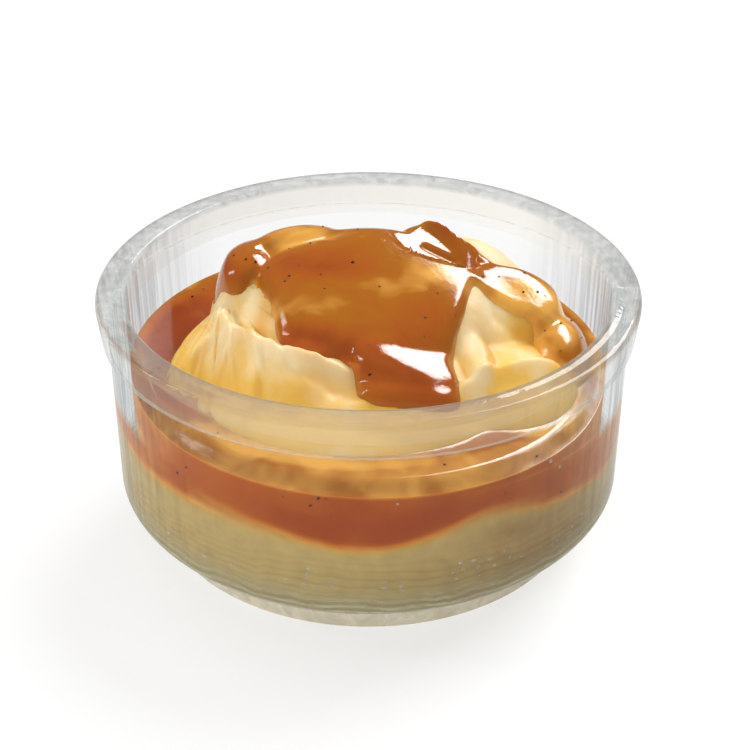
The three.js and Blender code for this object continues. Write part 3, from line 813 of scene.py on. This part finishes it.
def glass_haze(add, looks, settings):
    """Milky light, as its share and its colour: even in the collar, and in soft clouds in the
    corner outside the foot, over the dark and light mould lines."""
    rise = BOWL_HEIGHT * MM - COLLAR_HEIGHT * MM
    collar = add("MapRange", looks.height, rise - COLLAR_FILLET * MM, rise, 0.0, COLLAR_HAZE)
    flat = add("VectorMath", looks.where, (1.0, 1.0, 0.0), operation="MULTIPLY")
    reach = add("VectorMath", flat, operation="LENGTH")
    ring = add("MapRange", reach, HAZE_RADIUS * MM, FULL_HAZE_RADIUS * MM)
    low, full = CORNER_HAZE_TOP * MM, CORNER_HAZE_END * MM
    corner = add("MapRange", looks.height, low, full, 0.0, CORNER_HAZE)
    lower = add("Math", ring, corner, operation="MULTIPLY")
    clouds = add("MapRange", looks.dapples, 0.35, 0.65, 0.7, 1.15)
    cloudy = add("Math", lower, clouds, operation="MULTIPLY")
    share = add("Math", collar, cloudy, operation="MAXIMUM")
    shades = [(0.25, settings.corner_dark), (0.85, settings.corner_light)]
    waved = add("ValToRGB", looks.lines, stops=shades)
    on_foot = add("MapRange", looks.height, FOOT_TOP * MM, FULL_FOOT_HEIGHT * MM)
    colour = add("Mix", on_foot, waved, settings.foot_haze, data_type="RGBA")
    high = add("MapRange", looks.height, CORNER_HAZE_TOP * MM, MOULD_LINE_TOP * MM)
    return share, add("Mix", high, colour, settings.glass_haze, data_type="RGBA")


def pressed_glass(settings):
    """Soda-lime glass pressed in a mould and fire-polished. The thin wall is clear and shows the
    food where it is; edge-on it turns grey, with fine upright streaks. The thick rim gathers
    soft grey dapples, and the foot bends light over wavy mould lines. The grey and the dapples
    are partly painted reflection of the darker room, stronger at the back. Its gloss is on the
    outside, and shadow rays pass with a faint tint."""
    material, add = new_material("pressed_soda_lime_glass")
    looks = glass_looks(add)
    relief = add("Mix", looks.foot, looks.dapples, looks.lines, data_type="FLOAT")
    bump = add("Bump", named={"Height": relief, "Strength": 0.25, "Distance": 0.25 * MM})
    tint = glass_tint(add, looks, settings)
    straight = add("BsdfTransparent", tint)
    bent = add("BsdfRefraction", tint, named={"Roughness": 0.0, "IOR": 1.5, "Normal": bump})
    body = add("MixShader", glass_bend(add, looks), straight, bent)
    haze, haze_colour = glass_haze(add, looks, settings)
    body = add("MixShader", haze, body, add("BsdfDiffuse", haze_colour))
    mirror = add("BsdfGlossy", WHITE, named={"Roughness": 0.03, "Normal": bump})
    outside = add("MapRange", looks.inside, 0.0, 1.0, GLASS_GLOSS, 0.0)
    shine = add("Math", add("Fresnel", 1.45, bump), outside, operation="MULTIPLY")
    body = add("MixShader", shine, body, mirror)
    clear = add("BsdfTransparent", settings.glass_shadow)
    shadow = add("LightPath").outputs["Is Shadow Ray"]
    add("OutputMaterial", add("MixShader", shadow, body, clear))
    return material


def creamy_mash(settings):
    """Potato mashed with butter and milk: light scatters a few millimetres deep, so edges glow
    and folds have soft shade; the surface is satin, with a fine grain of starch."""
    material, add = new_material("buttery_mashed_potato")
    where = add("TexCoord").outputs["Object"]
    height = add("SeparateXYZ", where).outputs["Z"]
    patches = add("TexNoise", where, per_metre(9.0), 3.0)
    climb = add("MapRange", height, BUTTERY_HEIGHT * MM, CREAMY_HEIGHT * MM, -0.24, 0.16)
    creaminess = add("Math", patches, climb, operation="ADD")
    shades = [(0.32, settings.mash_butter), (0.62, settings.mash_cream)]
    cream = add("ValToRGB", creaminess, stops=shades)
    # Stain colour: soaked-in gravy, and painted shade in the mound's hollows.
    stain = add("Attribute", attribute_name="stain").outputs["Fac"]
    tinted = add("Mix", stain, cream, settings.mash_stain_and_shade, data_type="RGBA")
    grain = add("TexNoise", where, per_metre(0.9), 4.0)
    bump = add("Bump", named={"Height": grain, "Strength": 0.5, "Distance": 0.12 * MM})
    body = add(
        "BsdfPrincipled",
        named={
            "Base Color": tinted,
            "Roughness": 0.42,
            "IOR": 1.4,
            "Subsurface Weight": 0.6,
            "Subsurface Radius": (1.0, 0.55, 0.25),
            "Subsurface Scale": 1.8 * MM,
            "Normal": bump,
        },
    )
    add("OutputMaterial", body)
    return material


def shaded_packed_mash(settings):
    """The same mash pressed against glass: flat and wet, paler towards the foot, stained amber
    just under the gravy and brown where gravy has run into it. Its colours are darker and
    duller than the mound's: partly wet mash pressed on glass, partly painted shade. The wide
    brown patch at the front right is painted shade too."""
    material, add = new_material("mashed_potato_against_glass")
    where = add("TexCoord").outputs["Object"]
    height = add("SeparateXYZ", where).outputs["Z"]
    climb = add("MapRange", height, FLOOR_HEIGHT * MM, BASE_TOP * MM)
    # Darker and duller than the mound's mash: partly wet packed mash, partly painted shade.
    shades = [(0.0, settings.shaded_packed_foot), (0.55, settings.shaded_packed_mash)]
    mash = add("ValToRGB", climb, stops=shades)
    below = add("Attribute", attribute_name="below_gravy").outputs["Fac"]
    stained = add("MapRange", below, 0.0, STAIN_DEPTH, 0.8, 0.0)
    tinted = add("Mix", stained, mash, settings.mash_stain_and_shade, data_type="RGBA")
    smears = add("TexNoise", where, per_metre(6.0), 3.0)
    uneven = add("MapRange", smears, 0.3, 0.65, 0.55, 1.0)
    # Soaked-in gravy, and painted shade over a wide patch at the front right.
    soak_and_shade = add("Attribute", attribute_name="gravy_soak").outputs["Fac"]
    soaking_and_shade = add("Math", soak_and_shade, uneven, operation="MULTIPLY")
    tinted = add("Mix", soaking_and_shade, tinted, settings.packed_soaked_and_shaded, data_type="RGBA")
    lumps = add("TexNoise", where, per_metre(2.5), 4.0)
    mottle = add("MapRange", lumps, 0.3, 0.7, 0.9, 1.06)
    shaded = add("VectorMath", tinted, mottle, operation="SCALE")
    body = add(
        "BsdfPrincipled",
        named={
            "Base Color": shaded,
            "Roughness": 0.5,
            "IOR": 1.4,
            "Specular IOR Level": 0.05,
            "Subsurface Weight": 0.3,
            "Subsurface Radius": (1.0, 0.6, 0.3),
            "Subsurface Scale": 1.5 * MM,
        },
    )
    add("OutputMaterial", body)
    return material


def brown_gravy(settings, free):
    """Starch-thickened meat gravy: wet and glossy where its surface is free, with no shine of
    its own against the glass. It is amber where it is thin and the mash shines through, brown
    where it gathers, and pales into the mash at its lower edge."""
    name = "starch_thickened_gravy" if free else "starch_thickened_gravy_against_glass"
    material, add = new_material(name)
    where = add("TexCoord").outputs["Object"]
    swirl = add("TexNoise", where, per_metre(7.0), 2.0, named={"Distortion": 0.6})
    uneven = add("MapRange", swirl, 0.3, 0.7, -0.12, 0.12)
    depth = add("Attribute", attribute_name="gravy_depth").outputs["Fac"]
    deep = add("Math", depth, uneven, operation="ADD", use_clamp=True)
    kind = "gravy_" if free else "packed_"
    shades = [getattr(settings, kind + part) for part in ("edge", "thin", "middle", "deep")]
    colour = add("ValToRGB", deep, stops=zip((0.0, 0.3, 0.6, 1.0), shades))
    ripples = add("TexNoise", where, per_metre(2.6), 5.0, 0.7)
    bump = add("Bump", named={"Height": ripples, "Strength": 0.35, "Distance": 0.22 * MM})
    body = add(
        "BsdfPrincipled",
        named={
            "Base Color": colour,
            "Roughness": 0.07 if free else 0.5,
            "IOR": 1.45,
            "Specular IOR Level": 1.0 if free else 0.05,
            "Subsurface Weight": 0.2,
            "Subsurface Radius": (1.0, 0.35, 0.1),
            "Subsurface Scale": 1.5 * MM,
            "Normal": bump,
        },
    )
    add("OutputMaterial", body)
    return material


def ground_pepper(settings):
    """Cracked black pepper: dull dark brown flakes, some with the paler inside showing."""
    material, add = new_material("ground_black_pepper")
    where = add("TexCoord").outputs["Object"]
    husk = add("TexNoise", where, per_metre(1.2))
    shades = [(0.45, settings.pepper_husk), (0.7, settings.pepper_inside)]
    colour = add("ValToRGB", husk, stops=shades)
    add("OutputMaterial", add("BsdfPrincipled", colour, named={"Roughness": 0.5}))
    return material


def trapped_air(settings):
    """Air caught between the food and the glass: each bubble is a pale, half clear glint."""
    material, add = new_material("trapped_air_bubble")
    pale = add("BsdfPrincipled", settings.bubble_colour, named={"Roughness": 0.12, "IOR": 1.45})
    add("OutputMaterial", add("MixShader", 0.6, add("BsdfTransparent"), pale))
    return material


def painted_floor(settings):
    """Pale matt paint with a faint glow, so that the floor stays as white as the room."""
    material, add = new_material("pale_painted_floor")
    coat = add(
        "BsdfPrincipled",
        settings.floor_colour,
        named={
            "Roughness": 0.6,
            "Emission Color": WHITE,
            "Emission Strength": settings.floor_glow,
        },
    )
    add("OutputMaterial", coat)
    return material


# ------------------------------------------------------------------ settings


def colour_setting(name, description, hex_colour):
    """Colour with an sRGB hex default."""
    return FloatVectorProperty(
        name=name, description=description, subtype="COLOR", default=linear(hex_colour),
        min=0, max=1,
    )


def length_setting(name, description, default, least, most):
    """Length, given here in millimetres and kept in metres."""
    return FloatProperty(
        name=name, description=description, subtype="DISTANCE", unit="LENGTH",
        default=default * MM, min=least * MM, max=most * MM,
    )


def count_setting(name, description, default, most):
    """Number of small pieces."""
    return IntProperty(name=name, description=description, default=default, min=0, max=most)


def power_setting(name, description, watts):
    """Power of a light."""
    return FloatProperty(name=name, description=description, unit="POWER", default=watts, min=0)


class BowlSettings(bpy.types.PropertyGroup):
    """What a user may change on the glass bowl."""

    glass_colour: colour_setting("Glass", "Tint of the clear glass", "#F6F7F7")
    # Edge-on grey: partly painted reflection of the darker room.
    glass_edge: colour_setting("Edge-on", "Tint of the wall seen edge-on", "#A9AEB1")
    glass_haze: colour_setting("Haze", "Milky light in the thick collar", "#F2EEE2")
    corner_light: colour_setting("Corner light", "Light mould lines of the corner", "#C6C1A4")
    corner_dark: colour_setting("Corner dark", "Dark mould lines of the corner", "#98936F")
    foot_haze: colour_setting("Foot haze", "Cloudy foot", "#F1E8D6")
    glass_foot: colour_setting("Foot", "Tint of the thick base", "#B9AE8C")
    glass_shadow: colour_setting("Shadow", "Tint of light that has come through", "#FAFCFC")
    # Rim dapples: partly painted reflection of the room in the thick rim.
    rim_light: colour_setting("Rim light", "Light dapples of the rim", "#E4E6E7")
    rim_dark: colour_setting("Rim dark", "Dark dapples of the rim", "#C0C4C6")
    sides: IntProperty(
        name="Sides", description="Steps round the bowl", default=192, min=48, max=360
    )


class MashSettings(bpy.types.PropertyGroup):
    """What a user may change on the mashed potato."""

    mash_cream: colour_setting("Cream", "Lightest colour of the mash", "#F5E1B4")
    mash_butter: colour_setting("Butter", "Buttery colour of the mash", "#F0C25C")
    # Also the colour of painted shade in the mound's hollows.
    mash_stain_and_shade: colour_setting("Stained", "Mash that gravy has soaked into", "#DDA541")
    # Mash against the glass: partly painted shade, darker than the mound's.
    shaded_packed_mash: colour_setting("Packed", "Mash against the glass", "#CBAF72")
    shaded_packed_foot: colour_setting("Packed foot", "Mash against the glass near the foot", "#D8C99C")
    # Also the colour of painted shade at the front right.
    packed_soaked_and_shaded: colour_setting("Soaked", "Mash against the glass with gravy in it", "#94602E")
    lump_height: length_setting("Lumps", "Height of the soft lumps", 0.25, 0, 1)


class GravySettings(bpy.types.PropertyGroup):
    """What a user may change on the gravy."""

    gravy_edge: colour_setting("Edge", "Thinnest film of gravy", "#EAAB4C")
    gravy_thin: colour_setting("Thin", "Thin gravy over mash", "#AE660F")
    gravy_middle: colour_setting("Middle", "Gravy of middling depth", "#AD5612")
    gravy_deep: colour_setting("Deep", "Deep gravy", "#8F3A0C")
    packed_edge: colour_setting("Edge at the glass", "Edge of the gravy layer", "#EDA850")
    packed_thin: colour_setting("Thin at the glass", "Pale part of the gravy layer", "#D88638")
    packed_middle: colour_setting("Middle at the glass", "Middle of the gravy layer", "#C2651F")
    packed_deep: colour_setting("Deep at the glass", "Darkest part of the gravy layer", "#A94A18")


class PepperSettings(bpy.types.PropertyGroup):
    """What a user may change on the pepper."""

    pepper_husk: colour_setting("Husk", "Outside of the pepper", "#2A140A")
    pepper_inside: colour_setting("Inside", "Cracked faces of the pepper", "#6B3A1C")
    count: count_setting("Specks", "Specks on the gravy", 80, 400)
    wall_count: count_setting("Specks at the glass", "Specks seen through the glass", 22, 400)
    size: length_setting("Size", "Mean width of a speck", 0.62, 0.1, 2)


class BubbleSettings(bpy.types.PropertyGroup):
    """What a user may change on the trapped air."""

    bubble_colour: colour_setting("Bubble", "Glint of a bubble", "#E8DCCB")
    band_count: count_setting("In the gravy", "Bubbles in the gravy layer", 16, 200)
    foot_count: count_setting("Near the foot", "Bubbles low on the glass", 70, 400)
    size: length_setting("Size", "Width of the largest bubble", 0.9, 0.1, 3)


class StageSettings(bpy.types.PropertyGroup):
    """What a user may change on the stage."""

    floor_colour: colour_setting("Floor", "Pale floor", "#A0A09F")
    floor_glow: FloatProperty(
        name="Floor glow", description="Light that the floor gives off", default=0.62, min=0
    )
    sky_colour: colour_setting("Room", "Light from all round", "#F2F4F6")
    sky_strength: FloatProperty(
        name="Room light", description="Strength of the light from all round", default=0.17, min=0
    )
    key_watts: power_setting("Key light", "Power of the softbox at the back right", 23.0)
    strip_watts: power_setting("Strip light", "Power of the narrow light on the left", 1.5)
    top_watts: power_setting("Top light", "Power of the light overhead", 8.0)
    front_watts: power_setting("Front light", "Power of the soft light in front", 10.0)


# ------------------------------------------------------------------ the pieces


def arc(middle_x, middle_z, radius_x, radius_z, start, end, steps):
    """Points on an ellipse in the profile's plane, between two angles in degrees."""
    angles = [math.radians(start + (end - start) * k / steps) for k in range(steps + 1)]
    return [(middle_x + radius_x * math.cos(a), middle_z + radius_z * math.sin(a)) for a in angles]


class OBJECT_OT_potato_side_bowl(bpy.types.Operator):
    """Add the pressed glass bowl, spun from its profile"""

    bl_idname = "object.potato_side_bowl"
    bl_label = "Glass Bowl"

    def execute(self, context):
        settings = context.scene.potato_side_bowl
        collar_foot = BOWL_HEIGHT - COLLAR_HEIGHT
        collar_radius = RIM_RADIUS - COLLAR_TAPER
        fillet = COLLAR_FILLET
        corner_middle = WALL_FOOT_RADIUS - CORNER_REACH
        corner_start = -math.degrees(math.acos((FOOT_RADIUS - corner_middle) / CORNER_REACH))
        profile = [
            (0.0, RECESS_DEPTH),
            (RECESS_RADIUS, RECESS_DEPTH),
            (RECESS_RADIUS + RECESS_SLOPE, 0.0),
            *arc(FOOT_RADIUS - FOOT_CHAMFER, FOOT_CHAMFER, FOOT_CHAMFER, FOOT_CHAMFER, -90, 0, 5),
            *arc(corner_middle, CORNER_HEIGHT, CORNER_REACH, CORNER_DROP, corner_start, 0, 20),
            *arc(WALL_TOP_RADIUS + fillet, collar_foot - fillet, fillet, fillet, 180, 90, 5),
            *arc(collar_radius - fillet, collar_foot + fillet, fillet, fillet, -90, 0, 5),
            *arc(
                RIM_RADIUS - RIM_ROUNDING, BOWL_HEIGHT - RIM_ROUNDING, RIM_ROUNDING, RIM_ROUNDING,
                0, 90, 8,
            ),
            (GROOVE_RADIUS + GROOVE_WIDTH, BOWL_HEIGHT),
            (GROOVE_RADIUS + GROOVE_DEPTH, BOWL_HEIGHT - GROOVE_DEPTH),
            (GROOVE_RADIUS - GROOVE_DEPTH, BOWL_HEIGHT - GROOVE_DEPTH),
            (GROOVE_RADIUS - GROOVE_WIDTH, BOWL_HEIGHT),
            *arc(
                MOUTH_RADIUS + MOUTH_ROUNDING, BOWL_HEIGHT - MOUTH_ROUNDING, MOUTH_ROUNDING,
                MOUTH_ROUNDING, 90, 180, 6,
            ),
            *arc(
                FLOOR_RADIUS, INNER_CORNER_HEIGHT, INNER_FOOT_RADIUS - FLOOR_RADIUS,
                INNER_CORNER_HEIGHT - FLOOR_HEIGHT, 0, -90, 16,
            ),
            (0.0, FLOOR_HEIGHT),
        ]
        bowl = spun("glass_bowl", profile, settings.sides)
        finished(bowl, [pressed_glass(settings)], ["bowl"])
        return {"FINISHED"}


class OBJECT_OT_potato_side_lower_mash(bpy.types.Operator):
    """Add the lower mash, which fills the bottom of the bowl and shows through the glass"""

    bl_idname = "object.potato_side_lower_mash"
    bl_label = "Lower Mash"

    def execute(self, context):
        rings = [math.sin(0.5 * math.pi * share) for share in shares(40)]
        mash = between("lower_mash", rings, shares(20), wall_steps=12)
        x, y, share = places(mash)
        x, y = x * FOOD_RADIUS, y * FOOD_RADIUS
        low, high = floor_height(x, y), base_height(x, y)
        z = low + (high - low) * share
        widen = 1 + WALL_REACH * np.hypot(x, y) / FOOD_RADIUS**2
        move_to(mash, x * widen, y * widen, z - WALL_REACH * (share < 0.5))
        paint(mash, "below_gravy", high - z)
        # A thin smear of soaked-in gravy, and painted shade over a wide patch at the front right.
        bearing = np.degrees(np.arctan2(y, x))
        paint(mash, "gravy_soak", spread(bearing, z, SOAKS_AND_SHADE))
        settings = context.scene.potato_side_mash
        finished(mash, [shaded_packed_mash(settings)], ["mash_base"])
        return {"FINISHED"}


class OBJECT_OT_potato_side_mound(bpy.types.Operator):
    """Add the scooped mound of mash, with its folds and soft lumps"""

    bl_idname = "object.potato_side_mound"
    bl_label = "Scooped Mound"

    def execute(self, context):
        settings = context.scene.potato_side_mash
        mound = between("scooped_mash", shares(10), shares(110), wall_steps=2)
        x, y, share = places(mound)
        radius = np.hypot(x, y)
        edge = mound_edge(np.arctan2(y, x))
        x, y = x * edge, y * edge
        low = MOUND_SOLE_HEIGHT + SOLE_RISE * radius**2
        z = low + (mound_height(x, y) + streak_height(x, y) - low) * share
        move_to(mound, x, y, z)
        # Stain where gravy has soaked in near its outline and the pool, and painted shade in some
        # spots.
        by_outline = np.exp(-np.abs(inset_depth(x, y)) / OUTLINE_STAIN)
        by_pool = np.exp(-np.abs(z - pool_height(x, y)) / POOL_STAIN)
        stain = EDGE_STAIN * (by_outline + by_pool) + spread(x, y, STAIN_AND_SHADE_SPOTS)
        paint(mound, "stain", np.clip(stain, 0, DEEPEST_STAIN_AND_SHADE))
        roughen(mound, LUMP_SIZE, settings.lump_height / MM)
        finished(mound, [creamy_mash(settings)], ["mash_mound"])
        return {"FINISHED"}


class OBJECT_OT_potato_side_gravy(bpy.types.Operator):
    """Add the gravy: the layer from wall to wall, the coat on the mound and the fat drop"""

    bl_idname = "object.potato_side_gravy"
    bl_label = "Gravy"

    def execute(self, context):
        gravy = between("brown_gravy", shares(24), shares(120), wall_steps=16)
        second = upright_faces(gravy)
        x, y, share = places(gravy)
        x, y = x * FOOD_RADIUS, y * FOOD_RADIUS
        low, high = gravy_floor(x, y), gravy_top(x, y)
        z = low + (high - low) * share
        at_wall = np.hypot(x, y) / FOOD_RADIUS
        spare = wall_radius(z) + WALL_REACH - FOOD_RADIUS
        widen = spare * at_wall**TAPER_POWER / FOOD_RADIUS + 1
        band = eased(at_wall, *BAND_RINGS) * (share < BAND_TOP)
        free = free_shade(x, y, high)
        depth = free * (1 - band) + band * band_shade(x, z - base_height(x, y))
        move_to(gravy, x * widen, y * widen, z)
        paint(gravy, "gravy_depth", np.clip(depth, 0, 1))
        settings = context.scene.potato_side_gravy
        finished(
            gravy, [brown_gravy(settings, True), brown_gravy(settings, False)],
            ["gravy_layer", "gravy_topping"], second,
        )
        return {"FINISHED"}


class OBJECT_OT_potato_side_pepper(bpy.types.Operator):
    """Add the specks of ground pepper on the gravy and behind the glass"""

    bl_idname = "object.potato_side_pepper"
    bl_label = "Pepper Specks"

    def execute(self, context):
        settings = context.scene.potato_side_pepper
        draw = random.Random(PEPPER_SEED)
        specks = []
        tries = 0
        while len(specks) < settings.count:
            tries += 1
            if tries > PEPPER_TRIES * settings.count:
                raise RuntimeError("There is no gravy for the pepper to lie on")
            radius = FOOD_RADIUS * math.sqrt(draw.random()) * PEPPER_REACH
            bearing = draw.uniform(-math.pi, math.pi)
            x = np.array([radius * math.cos(bearing)])
            y = np.array([radius * math.sin(bearing)])
            top = gravy_top(x, y)
            if top[0] > mound_height(x, y)[0] + PEPPER_COVER:
                specks.append(self.speck(settings, draw, (x[0], y[0], top[0])))
        while len(specks) < settings.count + settings.wall_count:
            bearing = draw.uniform(-math.pi, math.pi)
            x = np.array([FOOD_RADIUS * math.cos(bearing)])
            y = np.array([FOOD_RADIUS * math.sin(bearing)])
            low = base_height(x, y)[0] + PEPPER_BAND[0]
            z = draw.uniform(low, POOL_LEVEL - PEPPER_BAND[1])
            out = (wall_radius(z) + WALL_REACH) / FOOD_RADIUS
            specks.append(self.speck(settings, draw, (x[0] * out, y[0] * out, z)))
        pepper = join(specks, "pepper_specks")
        finished(pepper, [ground_pepper(settings)], [])
        bpy.ops.object.shade_flat()
        return {"FINISHED"}

    def speck(self, settings, draw, place):
        """One cracked flake, half sunk at its place."""
        size = draw.uniform(*SPECK_SIZES)
        flat = Matrix.Diagonal((size, size * draw.uniform(*SPECK_WIDTHS), size * SPECK_HEIGHT, 1.0))
        turn = Euler([draw.uniform(0, math.tau) for _ in range(3)]).to_matrix().to_4x4()
        speck = bead(1, settings.size, Matrix.Translation(Vector(place) * MM) @ turn @ flat)
        for vertex in speck.data.vertices:
            way = Vector([draw.uniform(-1, 1) for _ in range(3)])
            vertex.co += way * SPECK_CRACKS * settings.size
        return speck


class OBJECT_OT_potato_side_bubbles(bpy.types.Operator):
    """Add the air bubbles trapped against the glass"""

    bl_idname = "object.potato_side_bubbles"
    bl_label = "Air Bubbles"

    def execute(self, context):
        settings = context.scene.potato_side_bubbles
        draw = random.Random(BUBBLE_SEED)
        bubbles = []
        counts = [(BAND_BUBBLES, settings.band_count), (FOOT_BUBBLES, settings.foot_count)]
        for heights, count in counts:
            for _ in range(count):
                bearing = draw.uniform(-math.pi, math.pi)
                z = draw.uniform(*heights)
                out = wall_radius(z) + WALL_REACH
                place = Vector((out * math.cos(bearing), out * math.sin(bearing), z)) * MM
                width = settings.size * draw.uniform(*BUBBLE_SIZES)
                flat = Matrix.Diagonal((BUBBLE_DEPTH, draw.uniform(*BUBBLE_WIDTHS), 1.0, 1.0))
                turn = Matrix.Rotation(bearing, 4, "Z")
                bubbles.append(bead(2, width, Matrix.Translation(place) @ turn @ flat))
        joined = join(bubbles, "air_bubbles")
        finished(joined, [trapped_air(settings)], [])
        return {"FINISHED"}


class OBJECT_OT_potato_side_stage(bpy.types.Operator):
    """Add the floor, the lights and the camera"""

    bl_idname = "object.potato_side_stage"
    bl_label = "Stage"

    def execute(self, context):
        settings = context.scene.potato_side_stage
        bpy.ops.object.select_all(action="DESELECT")
        bpy.ops.mesh.primitive_plane_add(size=FLOOR_SIZE, location=(0, 0, 0))
        floor = context.active_object
        floor.name = "floor"
        floor.data.materials.append(painted_floor(settings))
        for lamp in LAMPS:
            self.light(lamp, getattr(settings, lamp.power))
        world = bpy.data.worlds.new("studio_room")
        world.use_nodes = True
        background = world.node_tree.nodes["Background"]
        background.inputs["Color"].default_value = (*settings.sky_colour, 1.0)
        background.inputs["Strength"].default_value = settings.sky_strength
        context.scene.world = world
        context.scene.view_settings.view_transform = "Standard"
        self.camera(context)
        return {"FINISHED"}

    def light(self, lamp, watts):
        """Soft rectangular light aimed at the bowl."""
        bpy.ops.object.light_add(type="AREA")
        light = bpy.context.active_object
        light.name = lamp.name
        light.visible_glossy = lamp.shows
        light.data.shape = "RECTANGLE"
        light.data.size, light.data.size_y = lamp.size
        light.data.energy = watts
        turn = math.radians(lamp.azimuth)
        up = math.radians(lamp.elevation)
        out = Vector((math.sin(turn) * math.cos(up), math.cos(turn) * math.cos(up), math.sin(up)))
        light.location = Vector((0, 0, FOCUS_HEIGHT * MM)) + lamp.distance * out
        light.rotation_euler = out.to_track_quat("Z", "Y").to_euler()

    def camera(self, context):
        """Camera above the front edge, looking down into the bowl."""
        bpy.ops.object.camera_add(
            location=(0, -CAMERA_BACK * MM, CAMERA_HEIGHT * MM),
            rotation=(math.pi / 2 - math.radians(CAMERA_PITCH), 0, 0),
        )
        camera = context.active_object
        camera.data.sensor_width = SENSOR_WIDTH
        camera.data.lens = FOCAL_PIXELS * SENSOR_WIDTH / PICTURE_PIXELS
        camera.data.shift_x = (PICTURE_PIXELS / 2 - MIDDLE_PIXEL) / PICTURE_PIXELS
        camera.data.clip_start = NEAREST
        context.scene.camera = camera


class VIEW3D_PT_potato_side(bpy.types.Panel):
    """Lists the pieces and their settings"""

    bl_idname = "VIEW3D_PT_potato_side"
    bl_label = "Mashed Potato Side"
    bl_space_type = "VIEW_3D"
    bl_region_type = "UI"
    bl_category = "Potato Side"

    def draw(self, context):
        for operator in OPERATORS:
            self.layout.operator(operator.bl_idname)
        for name, group in SETTINGS.items():
            box = self.layout.box()
            for prop in group.__annotations__:
                box.prop(getattr(context.scene, name), prop)


OPERATORS = [
    OBJECT_OT_potato_side_bowl,
    OBJECT_OT_potato_side_lower_mash,
    OBJECT_OT_potato_side_mound,
    OBJECT_OT_potato_side_gravy,
    OBJECT_OT_potato_side_pepper,
    OBJECT_OT_potato_side_bubbles,
    OBJECT_OT_potato_side_stage,
]
SETTINGS = {
    "potato_side_bowl": BowlSettings,
    "potato_side_mash": MashSettings,
    "potato_side_gravy": GravySettings,
    "potato_side_pepper": PepperSettings,
    "potato_side_bubbles": BubbleSettings,
    "potato_side_stage": StageSettings,
}


def register():
    for name, group in SETTINGS.items():
        bpy.utils.register_class(group)
        setattr(bpy.types.Scene, name, PointerProperty(type=group))
    for operator in OPERATORS:
        bpy.utils.register_class(operator)
    bpy.utils.register_class(VIEW3D_PT_potato_side)


def unregister():
    bpy.utils.unregister_class(VIEW3D_PT_potato_side)
    for operator in reversed(OPERATORS):
        bpy.utils.unregister_class(operator)
    for name, group in reversed(SETTINGS.items()):
        delattr(bpy.types.Scene, name)
        bpy.utils.unregister_class(group)


def main():
    """Makes every piece in order."""
    register()
    for operator in OPERATORS:
        group, name = operator.bl_idname.split(".")
        result = getattr(getattr(bpy.ops, group), name)()
        if result != {"FINISHED"}:
            raise RuntimeError(operator.bl_label + " was not finished")


if __name__ == "__main__":
    main()
